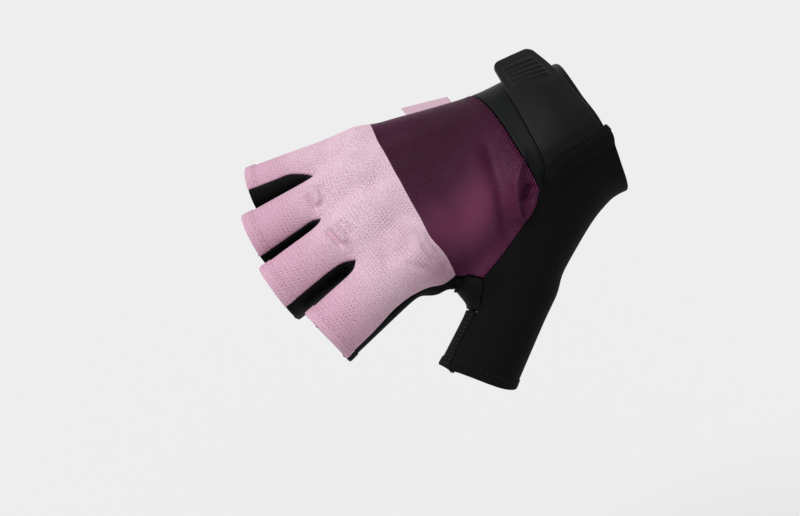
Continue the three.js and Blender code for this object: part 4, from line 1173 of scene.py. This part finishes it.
# Label: a folded tape that stands out of the little-finger seam, its fold outwards.
label = {
    "start": (-46, 35, 0),
    "outwards": (0, 1, -0.25),
    "over": (0, 0.25, 1),
    "wide": 20,
    "long": 8,
    "slant": 2,
    "footLevel": clothLevel + 0.5,
    "thickness": 1.0,
    "tape": 0.38,
    "wave": 0.12,
    "columns": 42,
    "runRows": 16,
    "turnRows": 13,
}
u = np.linspace(0, 1, label["columns"])
foot = toForm(np.array(label["start"]) + u[:, None] * [-label["wide"], label["slant"], 0], label["footLevel"])
outward, over = unit(np.array(label["outwards"])), unit(np.array(label["over"]))
radius = (label["thickness"] - label["tape"]) / 2
turn = np.linspace(0, np.pi, label["turnRows"])[1:-1]
straight = np.linspace(0, label["long"] - radius, label["runRows"])
run = np.concatenate([straight, straight[-1] + radius * np.sin(turn), straight[::-1]])
rise = np.concatenate([0 * straight + 1, np.cos(turn), 0 * straight - 1]) * radius
points = foot[:, None] + outward * run[:, None] + over * rise[:, None]
wave = label["wave"] * np.sin(u * 5)[:, None] * (run / label["long"])
points = points + over * wave[..., None]
along = np.concatenate([[0], np.cumsum(np.hypot(np.diff(run), np.diff(rise)))])
grid = {"points": points, "normals": np.broadcast_to(over, points.shape) * np.where(rise >= 0, 1, -1)[:, None]}
weave = np.stack(np.meshgrid(u * label["wide"], along, indexing="ij"), -1)
labelPiece = sewPanel("sideLabel", [grid], [weave], label["tape"])
dress(labelPiece, "pinkTape", "label_tab")
print("label folded")
# Camera of the photograph: the frame's origin stands at the wrist's place in the picture.
view = {
    "azimuth": -26,
    "elevation": 55,
    "distance": 926,
    "focal": 100,
    "sensor": 36,
    "width": 800,
    "centre": (400, 258),
    "wristPixel": (591, 126.5),
}
azimuth, elevation = math.radians(view["azimuth"]), math.radians(view["elevation"])
right = np.array([math.cos(azimuth), math.sin(azimuth), 0])
outwards = np.array([math.sin(azimuth), -math.cos(azimuth), 0]) * math.cos(elevation)
back = outwards + [0, 0, math.sin(elevation)]
up = np.cross(back, right)
pixels = view["width"] * view["focal"] / view["sensor"]
aside, above = view["wristPixel"][0] - view["centre"][0], view["centre"][1] - view["wristPixel"][1]
cameraPlace = -(aside * right + above * up) * view["distance"] / pixels + back * view["distance"]
lens = bpy.data.cameras.new("photoCamera")
lens.lens, lens.sensor_width, lens.clip_end = view["focal"], view["sensor"], 50


def setUp(name, data, axes, spot):
    # an object whose own axes are the given ones, at the spot
    holder = bpy.data.objects.new(name, data)
    holder.matrix_world = Matrix([[*row, at] for row, at in zip(np.stack(axes, 1), spot)] + [[0, 0, 0, 1]])
    bpy.context.scene.collection.objects.link(holder)
    return holder


bpy.context.scene.camera = setUp("photoCamera", lens, (right, up, back), cameraPlace * millimetre)

# Pale floor and soft studio light.
studio = {
    "floorSize": 30,
    "floorDrop": 0.42,
    "floorColour": "F6F6F6",
    "world": 0.38,
    "sun": 2.02,
    "softness": 42,
    "from": (-0.72, 0.9, 0.9),
}
bpy.ops.mesh.primitive_plane_add(size=studio["floorSize"], location=(0, 0, -studio["floorDrop"]))
floor = bpy.context.object
floor.name = "floor"
floorLook, _, shader = material("paleFloor", 0.9)
shader.inputs["Base Color"].default_value = colour(studio["floorColour"])
shader.inputs["Specular IOR Level"].default_value = 0.1
floor.data.materials.append(floorLook)
world = bpy.data.worlds.new("studio")
world.use_nodes = True
background = world.node_tree.nodes["Background"].inputs
background[0].default_value, background[1].default_value = (1, 1, 1, 1), studio["world"]
bpy.context.scene.world = world
sun = bpy.data.lights.new("softKey", "SUN")
sun.energy, sun.angle = studio["sun"], math.radians(studio["softness"])
way = unit(studio["from"][0] * right + studio["from"][1] * up + studio["from"][2] * back)
side = unit(np.cross([0, 0, 1.0], way))
setUp("softKey", sun, (side, np.cross(way, side), way), way)
bpy.context.scene.view_settings.view_transform = "Standard"
print("studio set")
